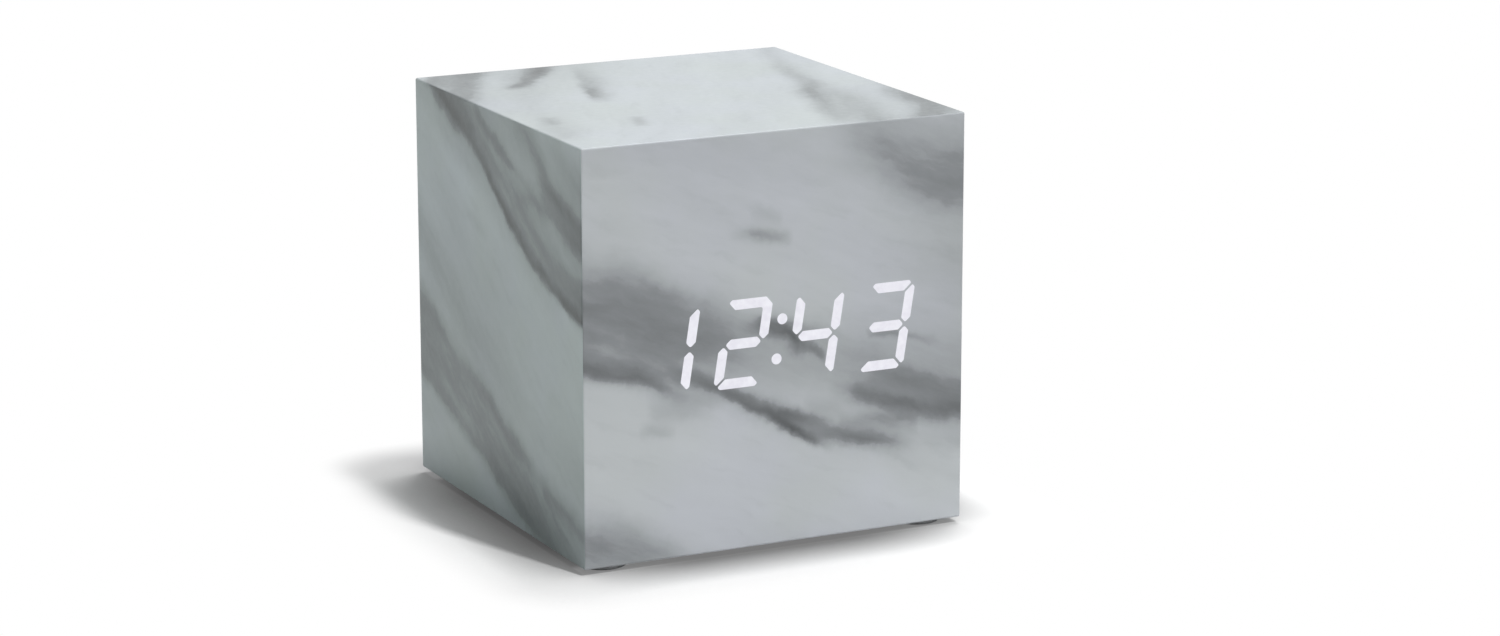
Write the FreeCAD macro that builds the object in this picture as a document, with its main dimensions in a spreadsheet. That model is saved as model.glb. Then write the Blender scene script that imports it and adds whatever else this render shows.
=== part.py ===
import FreeCAD, Part
import Sketcher
import math
import os
from types import SimpleNamespace

# A cube clock: six mitred boards under a printed film, a four-digit display shining through the front,
# a control plate in the back and a battery compartment in the base.
# Lengths are in millimetres. The floor is z = 0, the front faces -Y, and the cube stands on x = y = 0.

SIZES = {
    # The box and what it stands on
    "edge": 68,
    "film": 0.25,
    "film_bevel": 0.3,
    "panel": 5,
    "foot_height": 1,
    "foot_width": 8,
    "foot_inset": 5.5,
    # Clearances: a piece in its opening, and a sliding piece in its bore
    "play": 0.2,
    "slide": 0.15,
    # Display
    "display_shift": 0.45,
    "display_width": 50.3,
    "display_height": 19,
    "diffuser": 0.3,
    "digit_pitch": 12.87,
    "digit_width": 6.9,
    "digit_height": 12.8,
    "stroke": 1.65,
    "stroke_gap": 0.4,
    "stroke_tip": 0.45,
    "lean": 9,
    "dot_width": 1.8,
    "dot_spacing": 6.5,
    "patch": 0.1,
    "well_taper": 3,
    "peg_width": 1.2,
    "peg_inset": 1.2,
    "led_length": 1.6,
    "led_width": 0.8,
    "led_height": 0.6,
    "board": 1.2,
    "display_board_width": 55,
    "display_board_height": 27,
    # Screws
    "screw_core": 1.5,
    "screw_head": 3.2,
    "head_height": 1,
    "screw_bite": 3,
    "screw_play": 0.1,
    "display_screw_across": 49,
    "display_screw_up": 23.2,
    # Rear plate
    "plate_width": 50,
    "plate_height": 20,
    "plate": 2,
    "plate_recess": 1,
    "plate_ledge": 2,
    "plate_round": 3,
    "plate_drop": 8,
    "rim_bevel": 0.3,
    "boss_length": 7.4,
    "boss_width": 4,
    "boss_across": 24,
    "boss_up": 11,
    # Buttons and their switches
    "button_width": 5,
    "button_pitch": 8.5,
    "button_proud": 0.8,
    "button_flange": 6.4,
    "flange_height": 0.8,
    "flange_gap": 0.1,
    "button_travel": 0.5,
    "stem_width": 3.2,
    "stem_dip": 0.8,
    "switch_width": 6,
    "switch_height": 3.4,
    # Power inlet
    "jack_offset": 18.5,
    "jack_block": 7.5,
    "jack_barrel": 5,
    "jack_bore": 3.5,
    "jack_depth": 8,
    "jack_sink": 0.4,
    "pin_width": 1.3,
    "pin_sink": 0.4,
    # Main board and what stands on it
    "main_board_width": 46,
    "main_board_rise": 15,
    "main_board_fall": 9,
    "microphone_offset": 17.5,
    "microphone_width": 6,
    "microphone_height": 5,
    "sound_hole": 1.5,
    "sound_depth": 1,
    "buzzer_up": 8.5,
    "buzzer_width": 12,
    "buzzer_height": 8.5,
    "chip_down": 3.5,
    "chip_length": 12.8,
    "chip_width": 7.5,
    "chip_height": 2.3,
    "chip_span": 10.3,
    "leg_pitch": 1.27,
    "leg_width": 0.45,
    "leg_thick": 0.3,
    "crystal_offset": 8.3,
    "crystal_width": 2.4,
    "crystal_length": 7,
    "crystal_height": 2,
    "capacitor_offset": 10,
    "capacitor_width": 5,
    "capacitor_height": 7,
    "thermistor_offset": 19,
    "thermistor_down": 5,
    "bead": 1.8,
    "bead_rise": 4,
    "lead_wire": 0.5,
    "lead_pitch": 1.27,
    # Ribbon between the boards
    "header_across": 14.5,
    "header_down": 11,
    "header_up": 10,
    "header_length": 15,
    "header_width": 3,
    "header_height": 5,
    "ribbon_width": 12.7,
    "ribbon": 0.9,
    "ribbon_bend": 2.4,
    "ribbon_drop": 6,
    "ribbon_reach": 5.5,
    "ribbon_rear_reach": 8.4,
    # Leads from the compartment to the main board
    "lead": 1.3,
    "lead_up": 1.4,
    "lead_in": 7.5,
    "lead_run": 4.5,
    "lead_step": 3.5,
    "lead_sway": 0.8,
    "lead_last": 5,
    # Cells and their compartment
    "cell_width": 10.5,
    "cell_length": 44.5,
    "cell_pitch": 11,
    "nub_width": 4.2,
    "nub_height": 0.8,
    "cell_play": 0.5,
    "bay_play": 0.3,
    "contact": 0.3,
    "contact_width": 8,
    "contact_rise": 1.5,
    "tab_width": 3,
    "bump_width": 3,
    "bump_height": 0.5,
    "spring_length": 4,
    "spring_base": 6.4,
    "spring_tip": 4.4,
    "spring_wire": 0.6,
    "box_wall": 1.2,
    "box_roof": 1.5,
    "box_flange": 2.5,
    "lip_along": 3,
    "lip_across": 5,
    "lip_round": 2,
    "rib": 1.2,
    "rib_across": 12,
    # Battery door, its hooks and its latch
    "door": 1.4,
    "door_gap": 0.1,
    "door_ledge": 0.8,
    "hook_across": 14,
    "hook_width": 6,
    "hook": 1.2,
    "hook_reach": 1.2,
    "hook_leg": 0.9,
    "hook_ledge": 0.8,
    "latch_width": 14,
    "latch": 0.7,
    "latch_loop": 2.35,
    "latch_rise": 1.8,
    "nose": 0.85,
    "nose_height": 1,
    "nose_rise": 1.1,
    "notch_width": 7,
    "notch_depth": 0.9,
}

ROOT_TWO = math.sqrt(2)
OCTAGON_FLATS = math.cos(math.radians(22.5))


class Size:
    """A length, held both as a number and as the expression over the sheet that gives it."""

    def __init__(self, text, value):
        self.text = text
        self.value = value

    def __add__(self, other):
        other = size(other)
        return Size(f"({self.text} + {other.text})", self.value + other.value)

    def __sub__(self, other):
        other = size(other)
        return Size(f"({self.text} - {other.text})", self.value - other.value)

    def __mul__(self, other):
        other = size(other)
        return Size(f"({self.text} * {other.text})", self.value * other.value)

    def __truediv__(self, other):
        other = size(other)
        return Size(f"({self.text} / {other.text})", self.value / other.value)

    def __neg__(self):
        return Size(f"(0 - {self.text})", -self.value)

    def __radd__(self, other):
        return size(other) + self

    def __rsub__(self, other):
        return size(other) - self

    def __rmul__(self, other):
        return size(other) * self


def size(given):
    """A plain number as a Size; a Size stays as it is."""
    if isinstance(given, Size):
        return given
    return Size(f"{given:.9g}", float(given))


def tangent(angle):
    """The tangent of a sheet angle in degrees."""
    return Size(f"tan({angle.text} * 1 deg)", math.tan(math.radians(angle.value)))


doc = FreeCAD.newDocument("cube_clock")
sheet = doc.addObject("Spreadsheet::Sheet", "Dims")
for row, (alias, number) in enumerate(SIZES.items(), 1):
    sheet.set(f"A{row}", alias)
    sheet.set(f"B{row}", str(number))
    sheet.setAlias(f"B{row}", alias)
doc.recompute()

D = SimpleNamespace(**{alias: Size(f"Dims.{alias}", float(number)) for alias, number in SIZES.items()})

# Shared places. From the cube's centre outward: the film's face, the boards' outer and inner faces.
half = D.edge / 2
core = half - D.film
room = core - D.panel
centre = D.foot_height + half

# Directions of the six faces: each frame has z outward, y up (front to back on the top) and its origin
# in the middle of the cube.
X = FreeCAD.Vector(1, 0, 0)
Y = FreeCAD.Vector(0, 1, 0)
Z = FreeCAD.Vector(0, 0, 1)
FRAMES = {
    "front": FreeCAD.Rotation(X, Z, -Y),
    "back": FreeCAD.Rotation(-X, Z, Y),
    "left": FreeCAD.Rotation(-Y, Z, -X),
    "right": FreeCAD.Rotation(Y, Z, X),
    "top": FreeCAD.Rotation(),
    "base": FreeCAD.Rotation(X, -Y, -Z),
}

pieces = []


def piece(label, frame="floor"):
    """A new body, in the frame of one face of the cube or, by default, standing on the floor."""
    body = doc.addObject("PartDesign::Body", label)
    body.Label = label
    if frame != "floor":
        body.Placement = FreeCAD.Placement(FreeCAD.Vector(0, 0, centre.value), FRAMES[frame])
        body.setExpression("Placement.Base.z", centre.text)
    pieces.append(body)
    return body


def origin_feature(body, role):
    return next(f for f in body.Origin.OriginFeatures if f.Role == role)


def sketch(body, level, shapes, plane="XY_Plane"):
    """A sketch on one of the body's own planes, raised to a level along that plane's normal."""
    made = body.newObject("Sketcher::SketchObject", "outline")
    made.AttachmentSupport = (origin_feature(body, plane), [""])
    made.MapMode = "FlatFace"
    made.AttachmentOffset = FreeCAD.Placement(FreeCAD.Vector(0, 0, size(level).value), FreeCAD.Rotation())
    made.setExpression("AttachmentOffset.Base.z", size(level).text)
    for draw, *values in shapes:
        draw(made, *values)
    return made


def hold(made, kind, value, *where):
    """A sketch constraint whose value follows the sheet."""
    value = size(value)
    number = made.addConstraint(Sketcher.Constraint(kind, *where, value.value))
    made.setExpression(f"Constraints[{number}]", value.text)


def polygon(made, *corners):
    first = made.GeometryCount
    count = len(corners)
    points = [FreeCAD.Vector(size(x).value, size(y).value, 0) for x, y in corners]
    for i in range(count):
        made.addGeometry(Part.LineSegment(points[i], points[(i + 1) % count]), False)
    for i in range(count):
        made.addConstraint(Sketcher.Constraint("Coincident", first + i, 2, first + (i + 1) % count, 1))
    for i, (x, y) in enumerate(corners):
        hold(made, "DistanceX", x, -1, 1, first + i, 1)
        hold(made, "DistanceY", y, -1, 1, first + i, 1)


def corners(made, x0, y0, x1, y1):
    """A rectangle between two corners."""
    polygon(made, (x0, y0), (x1, y0), (x1, y1), (x0, y1))


def block(made, x, y, width, height):
    """A rectangle about its centre."""
    corners(made, x - width / 2, y - height / 2, x + width / 2, y + height / 2)


def circle(made, x, y, width):
    middle = FreeCAD.Vector(size(x).value, size(y).value, 0)
    number = made.addGeometry(Part.Circle(middle, Z, size(width).value / 2), False)
    hold(made, "DistanceX", x, -1, 1, number, 3)
    hold(made, "DistanceY", y, -1, 1, number, 3)
    hold(made, "Diameter", width, number)


def octagon(made, x, y, width):
    """A regular eight-sided outline, its width measured across corners."""
    turns = [math.radians(22.5 + 45 * i) for i in range(8)]
    polygon(made, *[(x + math.cos(turn) / 2 * width, y + math.sin(turn) / 2 * width) for turn in turns])


def rounded(made, x, y, width, height, radius):
    """A rectangle about its centre, with round corners."""
    first = made.GeometryCount
    across = width / 2 - radius
    up = height / 2 - radius
    middles = [(x + across, y + up), (x - across, y + up), (x - across, y - up), (x + across, y - up)]
    for i, (mx, my) in enumerate(middles):
        ring = Part.Circle(FreeCAD.Vector(mx.value, my.value, 0), Z, radius.value)
        made.addGeometry(Part.ArcOfCircle(ring, i * math.pi / 2, (i + 1) * math.pi / 2), False)
    for i in range(4):
        start = made.Geometry[first + i].EndPoint
        end = made.Geometry[first + (i + 1) % 4].StartPoint
        made.addGeometry(Part.LineSegment(start, end), False)
    for i in range(4):
        made.addConstraint(Sketcher.Constraint("Tangent", first + i, 2, first + 4 + i, 1))
        made.addConstraint(Sketcher.Constraint("Tangent", first + 4 + i, 2, first + (i + 1) % 4, 1))
        made.addConstraint(Sketcher.Constraint("Vertical" if i % 2 else "Horizontal", first + 4 + i))
        hold(made, "Radius", radius, first + i)
    for i in (0, 2):
        hold(made, "DistanceX", middles[i][0], -1, 1, first + i, 3)
        hold(made, "DistanceY", middles[i][1], -1, 1, first + i, 3)


def pad(body, low, high, *shapes, plane="XY_Plane"):
    made = body.newObject("PartDesign::Pad", "pad")
    made.Profile = sketch(body, low, shapes, plane)
    made.setExpression("Length", (size(high) - low).text)
    doc.recompute()
    return made


def cut(body, low, high, *shapes, plane="XY_Plane"):
    """A pocket that starts at the higher level and goes down to the lower one."""
    made = body.newObject("PartDesign::Pocket", "cut")
    made.Profile = sketch(body, high, shapes, plane)
    made.setExpression("Length", (size(high) - low).text)
    before = made.BaseFeature.Shape.Volume
    doc.recompute()
    if not made.Shape.Volume < before:
        raise ValueError(f"a cut in {body.Label} removes nothing")
    return made


def soften(body, radius, wanted):
    """Rounds the edges that the test picks out."""
    base = body.Tip
    made = body.newObject("PartDesign::Fillet", "round")
    made.Base = (base, [f"Edge{i}" for i, edge in enumerate(base.Shape.Edges, 1) if wanted(edge)])
    made.setExpression("Radius", radius.text)
    doc.recompute()
    return made


def bevel(body, width, wanted):
    """Cuts a 45-degree bevel along the edges that the test picks out."""
    base = body.Tip
    made = body.newObject("PartDesign::Chamfer", "bevel")
    made.Base = (base, [f"Edge{i}" for i, edge in enumerate(base.Shape.Edges, 1) if wanted(edge)])
    made.setExpression("Size", width.text)
    doc.recompute()
    return made


def at_level(level):
    """Picks the edges that lie whole in the plane z = level of the body's own frame."""
    z = size(level).value
    return lambda edge: max(abs(edge.BoundBox.ZMin - z), abs(edge.BoundBox.ZMax - z)) < 1e-4


def along_x_at(*places):
    """Picks the edges along X that pass through the given (y, z) places."""
    def wanted(edge):
        box = edge.BoundBox
        if box.YLength > 1e-4 or box.ZLength > 1e-4:
            return False
        return any(math.hypot(box.YMin - y.value, box.ZMin - z.value) < 1e-3 for y, z in places)
    return wanted


def both_ways(across, up):
    """Four places, mirrored about both axes."""
    return [(i * across / 2, k * up / 2) for i in (1, -1) for k in (1, -1)]


# Strokes of a seven-segment digit

def stroke_corners(letter, middle):
    """The corners of one stroke, slanted, about the digit's middle. Stroke k is a and b run together."""
    across = D.digit_width / 2
    up = D.digit_height / 2
    thick = D.stroke / 2
    gap = D.stroke_gap / ROOT_TWO
    tip = D.stroke_tip
    flat = across - thick - gap
    reach = across + thick - gap
    if letter in "ad":
        outline = [(-flat, up - thick), (flat, up - thick), (reach - tip, up + thick - tip),
                   (reach - 2 * tip, up + thick), (2 * tip - reach, up + thick), (tip - reach, up + thick - tip)]
    elif letter == "k":
        outline = [(-flat, up - thick), (across - thick, up - thick), (across - thick, thick + gap),
                   (across, gap), (across + thick, thick + gap), (across + thick, up - tip),
                   (across - tip, up + thick), (2 * tip - reach, up + thick), (tip - reach, up + thick - tip)]
    elif letter == "g":
        outline = [(-flat, -thick), (flat, -thick), (across - gap, 0),
                   (flat, thick), (-flat, thick), (gap - across, 0)]
    else:
        outline = [(across - thick, thick + gap), (across - thick, up - thick - gap),
                   (across + thick - tip, up + thick - gap - tip), (across + thick, up + thick - gap - 2 * tip),
                   (across + thick, thick + gap), (across, gap)]
    flip_x = -1 if letter in "ef" else 1
    flip_y = -1 if letter in "dce" else 1
    slope = tangent(D.lean)
    placed = []
    for x, y in outline:
        y = flip_y * size(y)
        placed.append((middle + flip_x * size(x) + slope * y, y))
    return placed


def digit_middle(place):
    """The middle of a digit, counted from the left, in the front's frame."""
    return D.display_shift + (place - (DIGITS - 1) / 2) * D.digit_pitch


def strokes(place, letters):
    return [(polygon, *stroke_corners(letter, digit_middle(place))) for letter in letters]


def dots(width):
    slope = tangent(D.lean)
    rise = D.dot_spacing / 2
    return [(octagon, D.display_shift + k * slope * rise, k * rise, width) for k in (1, -1)]


ALL_STROKES = "abcdefg"
LIT = ("bc", "kged", "fgbc", "abgcd")
DIGITS = 4
CHIP_LEGS = 10
SPRING_TURNS = 2
SPRING_RUNS = 12

# The display board is held by two screws in opposite corners, and placed by two pegs in the other two.
display_screw_places = [(D.display_shift + k * D.display_screw_across / 2, k * D.display_screw_up / 2)
                        for k in (1, -1)]
peg_places = [(D.display_shift - k * (D.display_width / 2 - D.peg_inset),
               k * (D.display_height / 2 - D.peg_inset)) for k in (1, -1)]

# Rear levels, outward from the cube's centre
plate_face = half - D.plate_recess
plate_seat = plate_face - D.plate
board_back = plate_seat - D.boss_length
board_front = board_back - D.board
plate_up = -D.plate_drop
boss_places = [(x, plate_up + y) for x, y in both_ways(D.boss_across, D.boss_up)]
button_places = {"set": -D.button_pitch, "up": size(0), "down": D.button_pitch}
switch_top = board_back + D.switch_height
flange_top = plate_seat - D.flange_gap
flange_low = flange_top - D.flange_height
stem_low = switch_top - D.stem_dip
jack_end = plate_face - D.jack_sink

# Levels and half sizes of the battery compartment, up from the floor
under = D.foot_height
lip_top = under + D.box_flange
door_top = under + D.door
recess_top = door_top + D.door_gap
cell_low = recess_top + D.cell_play
cell_level = cell_low + D.cell_width / 2
bay_top = cell_low + D.cell_width + D.cell_play
box_top = bay_top + D.box_roof
bay_along = (D.cell_length + D.spring_length + D.bump_height) / 2 + D.contact
bay_across = D.cell_pitch + D.cell_width / 2 + D.bay_play
box_along = bay_along + D.box_wall
box_across = bay_across + D.box_wall
lip_along = box_along + D.lip_along
lip_across = box_across + D.lip_across
recess_along = bay_along + D.door_ledge
recess_across = bay_across + D.door_ledge
box_screw_places = both_ways(2 * bay_along, 2 * box_across + D.lip_across)
latch_face = recess_across - D.play
hook_low = recess_top + D.hook_ledge + D.play
hook_top = hook_low + D.hook_leg
hook_face = -(bay_across - D.slide)


def mitred_board(label, frame):
    """A board whose four edges are mitred, with its outer face outward."""
    body = piece(label, frame)
    pad(body, room, core, (block, size(0), size(0), 2 * core, 2 * core))
    mitres = [(polygon, (k * room, room), (k * core, room), (k * core, core)) for k in (1, -1)]
    cut(body, -core, core, *mitres, plane="XZ_Plane")
    cut(body, -core, core, *mitres, plane="YZ_Plane")
    return body


def front_panel():
    body = mitred_board("front_panel", "front")
    window = (block, D.display_shift, size(0), D.display_width + 2 * D.play, D.display_height + 2 * D.play)
    cut(body, room, core, window)
    holes = [(octagon, x, y, D.screw_core + D.screw_play) for x, y in display_screw_places]
    cut(body, room, room + D.screw_bite + D.play, *holes)


def back_panel():
    body = mitred_board("back_panel", "back")
    rebate = (rounded, size(0), plate_up, D.plate_width + 2 * D.slide, D.plate_height + 2 * D.slide,
              D.plate_round + D.slide)
    cut(body, plate_seat, core, rebate)
    opening = (block, size(0), plate_up, D.plate_width - 2 * D.plate_ledge, D.plate_height - 2 * D.plate_ledge)
    cut(body, room, plate_seat, opening)


def base_panel():
    body = mitred_board("base_panel", "base")
    rebate = (rounded, size(0), size(0), 2 * (lip_along + D.slide), 2 * (lip_across + D.slide),
              D.lip_round + D.slide)
    seat = half - D.box_flange
    cut(body, seat, core, rebate)
    cut(body, room, seat, (block, size(0), size(0), 2 * (box_along + D.play), 2 * (box_across + D.play)))
    tip = centre - (under + D.play + D.head_height + D.screw_bite)
    holes = [(octagon, x, y, D.screw_core + D.screw_play) for x, y in box_screw_places]
    cut(body, tip - D.slide, seat, *holes)


def marble_film():
    """The wrap: a thin closed skin, open at the rear plate and at the battery compartment."""
    body = piece("marble_film", "top")
    pad(body, -half, half, (block, size(0), size(0), D.edge, D.edge))
    bevel(body, D.film_bevel, lambda edge: True)
    cut(body, -core, core, (block, size(0), size(0), 2 * core, 2 * core))
    rear = (rounded, size(0), plate_up, D.plate_width + 2 * D.slide, D.plate_height + 2 * D.slide,
            D.plate_round + D.slide)
    cut(body, -half, -core, rear, plane="XZ_Plane")
    base = (rounded, size(0), size(0), 2 * (lip_along + D.slide), 2 * (lip_across + D.slide),
            D.lip_round + D.slide)
    cut(body, -half, -core, base)
    for place, letters in enumerate(LIT):
        cut(body, half - D.patch, half, *strokes(place, letters), plane="XZ_Plane")
    cut(body, half - D.patch, half, *dots(D.dot_width), plane="XZ_Plane")


def lit_segments():
    """The lit strokes and dots as they show on the film, flush with its face."""
    body = piece("lit_segments", "front")
    for place, letters in enumerate(LIT):
        pad(body, half - D.patch, half, *strokes(place, letters))
    pad(body, half - D.patch, half, *dots(D.dot_width))


def rubber_feet():
    body = piece("rubber_feet")
    spread = D.edge - 2 * D.foot_inset
    pad(body, 0, D.foot_height, *[(circle, x, y, D.foot_width) for x, y in both_ways(spread, spread)])


def diffuser_sheet():
    body = piece("diffuser_sheet", "front")
    pad(body, core - D.diffuser, core, (block, D.display_shift, size(0), D.display_width, D.display_height))


def reflector_block():
    """The light mask: a tapered well for each stroke and dot, narrowing towards its chip, and two pegs."""
    body = piece("reflector_block", "front")
    face = core - D.diffuser
    pad(body, room, face, (block, D.display_shift, size(0), D.display_width, D.display_height))
    pad(body, room - D.board, room, *[(octagon, x, y, D.peg_width) for x, y in peg_places])
    wells = cut(body, room, face, *strokes(0, ALL_STROKES))
    row = body.newObject("PartDesign::LinearPattern", "row")
    row.Originals = [wells]
    row.Direction = (origin_feature(body, "X_Axis"), [""])
    row.setExpression("Length", ((DIGITS - 1) * D.digit_pitch).text)
    row.Occurrences = DIGITS
    body.Tip = row
    doc.recompute()
    cut(body, room, face, *dots(D.dot_width + D.slide))
    block_face = body.Tip
    walls = []
    for number, wall in enumerate(block_face.Shape.Faces, 1):
        box = wall.BoundBox
        inside = max(abs(box.XMin - D.display_shift.value), abs(box.XMax - D.display_shift.value))
        if inside < D.display_width.value / 2 - D.play.value and box.ZLength > D.diffuser.value:
            if box.ZMax > face.value - D.diffuser.value and abs(box.YMax) < D.display_height.value / 2 - D.play.value:
                walls.append(f"Face{number}")
        elif abs(box.ZMin - face.value) < 1e-4:
            front = f"Face{number}"
    draft = body.newObject("PartDesign::Draft", "draft")
    draft.Base = (block_face, walls)
    draft.NeutralPlane = (block_face, [front])
    draft.setExpression("Angle", D.well_taper.text)
    doc.recompute()


def segment_leds():
    body = piece("segment_leds", "front")
    for place in range(DIGITS):
        chips = []
        for letter in ALL_STROKES:
            placed = stroke_corners(letter, digit_middle(place))
            x = (placed[0][0] + placed[1][0] + placed[3][0] + placed[4][0]) / 4
            y = (placed[0][1] + placed[1][1] + placed[3][1] + placed[4][1]) / 4
            lying = letter in "adg"
            chips.append((block, x, y, D.led_length if lying else D.led_width,
                          D.led_width if lying else D.led_length))
        pad(body, room, room + D.led_height, *chips)
    pad(body, room, room + D.led_height, *[(block, x, y, D.led_width, D.led_width) for _, x, y, _ in dots(0)])


def display_board():
    body = piece("display_board", "front")
    pad(body, room - D.board, room,
        (block, D.display_shift, size(0), D.display_board_width, D.display_board_height))
    holes = [(octagon, x, y, D.peg_width + D.play) for x, y in peg_places]
    holes += [(octagon, x, y, D.screw_core + 2 * D.play) for x, y in display_screw_places]
    cut(body, room - D.board, room, *holes)


def screws(body, seat, tip, places):
    """Screws driven along the frame's z: a head below the seat and a plain shank above it, both eight-sided."""
    heads = [(octagon, x, y, D.screw_head) for x, y in places]
    shanks = [(octagon, x, y, D.screw_core) for x, y in places]
    pad(body, seat - D.head_height, seat, *heads)
    pad(body, seat, tip, *shanks)


def display_screws():
    screws(piece("display_screws", "front"), room - D.board, room + D.screw_bite, display_screw_places)


def rear_plate():
    """The moulded control plate, with the four bosses that carry the main board."""
    body = piece("rear_plate", "back")
    pad(body, plate_seat, plate_face,
        (rounded, size(0), plate_up, D.plate_width, D.plate_height, D.plate_round))
    bevel(body, D.rim_bevel, at_level(plate_face))
    pad(body, board_back, plate_seat, *[(octagon, x, y, D.boss_width) for x, y in boss_places])
    holes = [(circle, x, plate_up, D.button_width + 2 * D.slide) for x in button_places.values()]
    holes.append((circle, -D.jack_offset, plate_up, D.jack_barrel + 2 * D.slide))
    holes.append((octagon, D.microphone_offset, plate_up, D.sound_hole))
    cut(body, plate_seat, plate_face, *holes)
    pilots = [(octagon, x, y, D.screw_core + D.screw_play) for x, y in boss_places]
    cut(body, board_back, board_back + D.screw_bite + D.play, *pilots)


def button(name):
    """A push button: a round cap with an eight-sided flange behind the plate."""
    body = piece(f"{name}_button", "back")
    x = button_places[name]
    pad(body, flange_low, flange_top, (octagon, x, plate_up, D.button_flange))
    pad(body, flange_top, plate_face + D.button_proud, (circle, x, plate_up, D.button_width))
    bevel(body, D.rim_bevel, at_level(plate_face + D.button_proud))


def switch_stem(name):
    body = piece(f"{name}_stem", "back")
    pad(body, stem_low, flange_low, (octagon, button_places[name], plate_up, D.stem_width))


def tact_switches():
    body = piece("tact_switches", "back")
    pad(body, board_back, switch_top,
        *[(block, x, plate_up, D.switch_width, D.switch_width) for x in button_places.values()])
    cut(body, stem_low - D.button_travel - D.play, switch_top,
        *[(octagon, x, plate_up, D.stem_width + 2 * D.slide) for x in button_places.values()])


def dc_jack():
    body = piece("dc_jack", "back")
    shoulder = plate_seat - D.play
    pad(body, board_back, shoulder, (block, -D.jack_offset, plate_up, D.jack_block, D.jack_block))
    pad(body, shoulder, jack_end, (circle, -D.jack_offset, plate_up, D.jack_barrel))
    cut(body, jack_end - D.jack_depth, jack_end, (circle, -D.jack_offset, plate_up, D.jack_bore))


def jack_pin():
    body = piece("jack_pin", "back")
    tip = jack_end - D.pin_sink
    pad(body, jack_end - D.jack_depth, tip, (circle, -D.jack_offset, plate_up, D.pin_width))
    bevel(body, D.rim_bevel, at_level(tip))


def main_board():
    body = piece("main_board", "back")
    pad(body, board_front, board_back, (corners, -D.main_board_width / 2, plate_up - D.main_board_fall,
                                        D.main_board_width / 2, plate_up + D.main_board_rise))
    cut(body, board_front, board_back, *[(octagon, x, y, D.screw_core + 2 * D.play) for x, y in boss_places])


def main_board_screws():
    screws(piece("main_board_screws", "back"), board_front, board_back + D.screw_bite, boss_places)


def clock_chip():
    body = piece("clock_chip", "back")
    y = plate_up - D.chip_down
    pad(body, board_front - D.chip_height, board_front - D.leg_thick,
        (block, size(0), y, D.chip_length, D.chip_width))
    first = -(CHIP_LEGS - 1) / 2 * D.leg_pitch
    leg = pad(body, board_front - D.leg_thick, board_front, (block, first, y, D.leg_width, D.chip_span))
    row = body.newObject("PartDesign::LinearPattern", "legs")
    row.Originals = [leg]
    row.Direction = (origin_feature(body, "X_Axis"), [""])
    row.setExpression("Length", ((CHIP_LEGS - 1) * D.leg_pitch).text)
    row.Occurrences = CHIP_LEGS
    body.Tip = row
    doc.recompute()


def crystal():
    body = piece("crystal", "back")
    pad(body, board_front - D.crystal_height, board_front,
        (block, -D.crystal_offset, plate_up - D.chip_down, D.crystal_width, D.crystal_length))


def buzzer():
    body = piece("buzzer", "back")
    top = board_front - D.buzzer_height
    y = plate_up + D.buzzer_up
    pad(body, top, board_front, (circle, size(0), y, D.buzzer_width))
    cut(body, top, top + D.sound_depth, (octagon, size(0), y, D.sound_hole))


def microphone():
    body = piece("microphone", "back")
    top = board_back + D.microphone_height
    pad(body, board_back, top, (circle, D.microphone_offset, plate_up, D.microphone_width))
    cut(body, top - D.sound_depth, top, (octagon, D.microphone_offset, plate_up, D.sound_hole))


def capacitor():
    body = piece("capacitor", "back")
    pad(body, board_front - D.capacitor_height, board_front,
        (circle, D.capacitor_offset, plate_up, D.capacitor_width))
    bevel(body, D.rim_bevel, at_level(board_front - D.capacitor_height))


def thermistor():
    """A glass bead on two short leads, which reads the room's temperature."""
    body = piece("thermistor", "back")
    y = plate_up - D.thermistor_down
    bead_low = board_front - D.bead_rise - D.bead
    pad(body, bead_low, bead_low + D.bead, (octagon, D.thermistor_offset, y, D.bead + D.lead_wire))
    bevel(body, D.rim_bevel, lambda edge: True)
    pad(body, bead_low + D.bead, board_front,
        *[(octagon, D.thermistor_offset + k * D.lead_pitch / 2, y, D.lead_wire) for k in (1, -1)])


# The ribbon leaves the display board low down, hangs over the compartment and rises to the main board.
ribbon_front_y = D.header_height + D.board - room
ribbon_front_z = centre - D.header_down
ribbon_rear_y = board_front - D.header_height
ribbon_rear_z = centre + plate_up + D.header_up


def ribbon_headers():
    body = piece("ribbon_headers")
    x0 = D.header_across - D.header_length / 2
    x1 = D.header_across + D.header_length / 2
    pad(body, ribbon_front_z - D.header_width / 2, ribbon_front_z + D.header_width / 2,
        (corners, x0, D.board - room, x1, ribbon_front_y))
    pad(body, ribbon_rear_z - D.header_width / 2, ribbon_rear_z + D.header_width / 2,
        (corners, x0, ribbon_rear_y, x1, board_front))


def ribbon_cable():
    body = piece("ribbon_cable")
    thick = D.ribbon / 2
    low = ribbon_front_z - D.ribbon_drop
    front = ribbon_front_y + D.ribbon_reach
    rear = ribbon_rear_y - D.ribbon_rear_reach
    upper = [(front + thick, ribbon_front_z + thick), (front + thick, low + thick),
             (rear - thick, low + thick), (rear - thick, ribbon_rear_z + thick)]
    lower = [(rear + thick, ribbon_rear_z - thick), (rear + thick, low - thick),
             (front - thick, low - thick), (front - thick, ribbon_front_z - thick)]
    outline = [(ribbon_front_y, ribbon_front_z + thick), *upper, (ribbon_rear_y, ribbon_rear_z + thick),
               (ribbon_rear_y, ribbon_rear_z - thick), *lower, (ribbon_front_y, ribbon_front_z - thick)]
    pad(body, D.header_across - D.ribbon_width / 2, D.header_across + D.ribbon_width / 2,
        (polygon, *outline), plane="YZ_Plane")
    soften(body, D.ribbon_bend + D.ribbon, along_x_at(upper[0], upper[3], lower[1], lower[2]))
    soften(body, D.ribbon_bend, along_x_at(upper[1], upper[2], lower[0], lower[3]))


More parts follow.
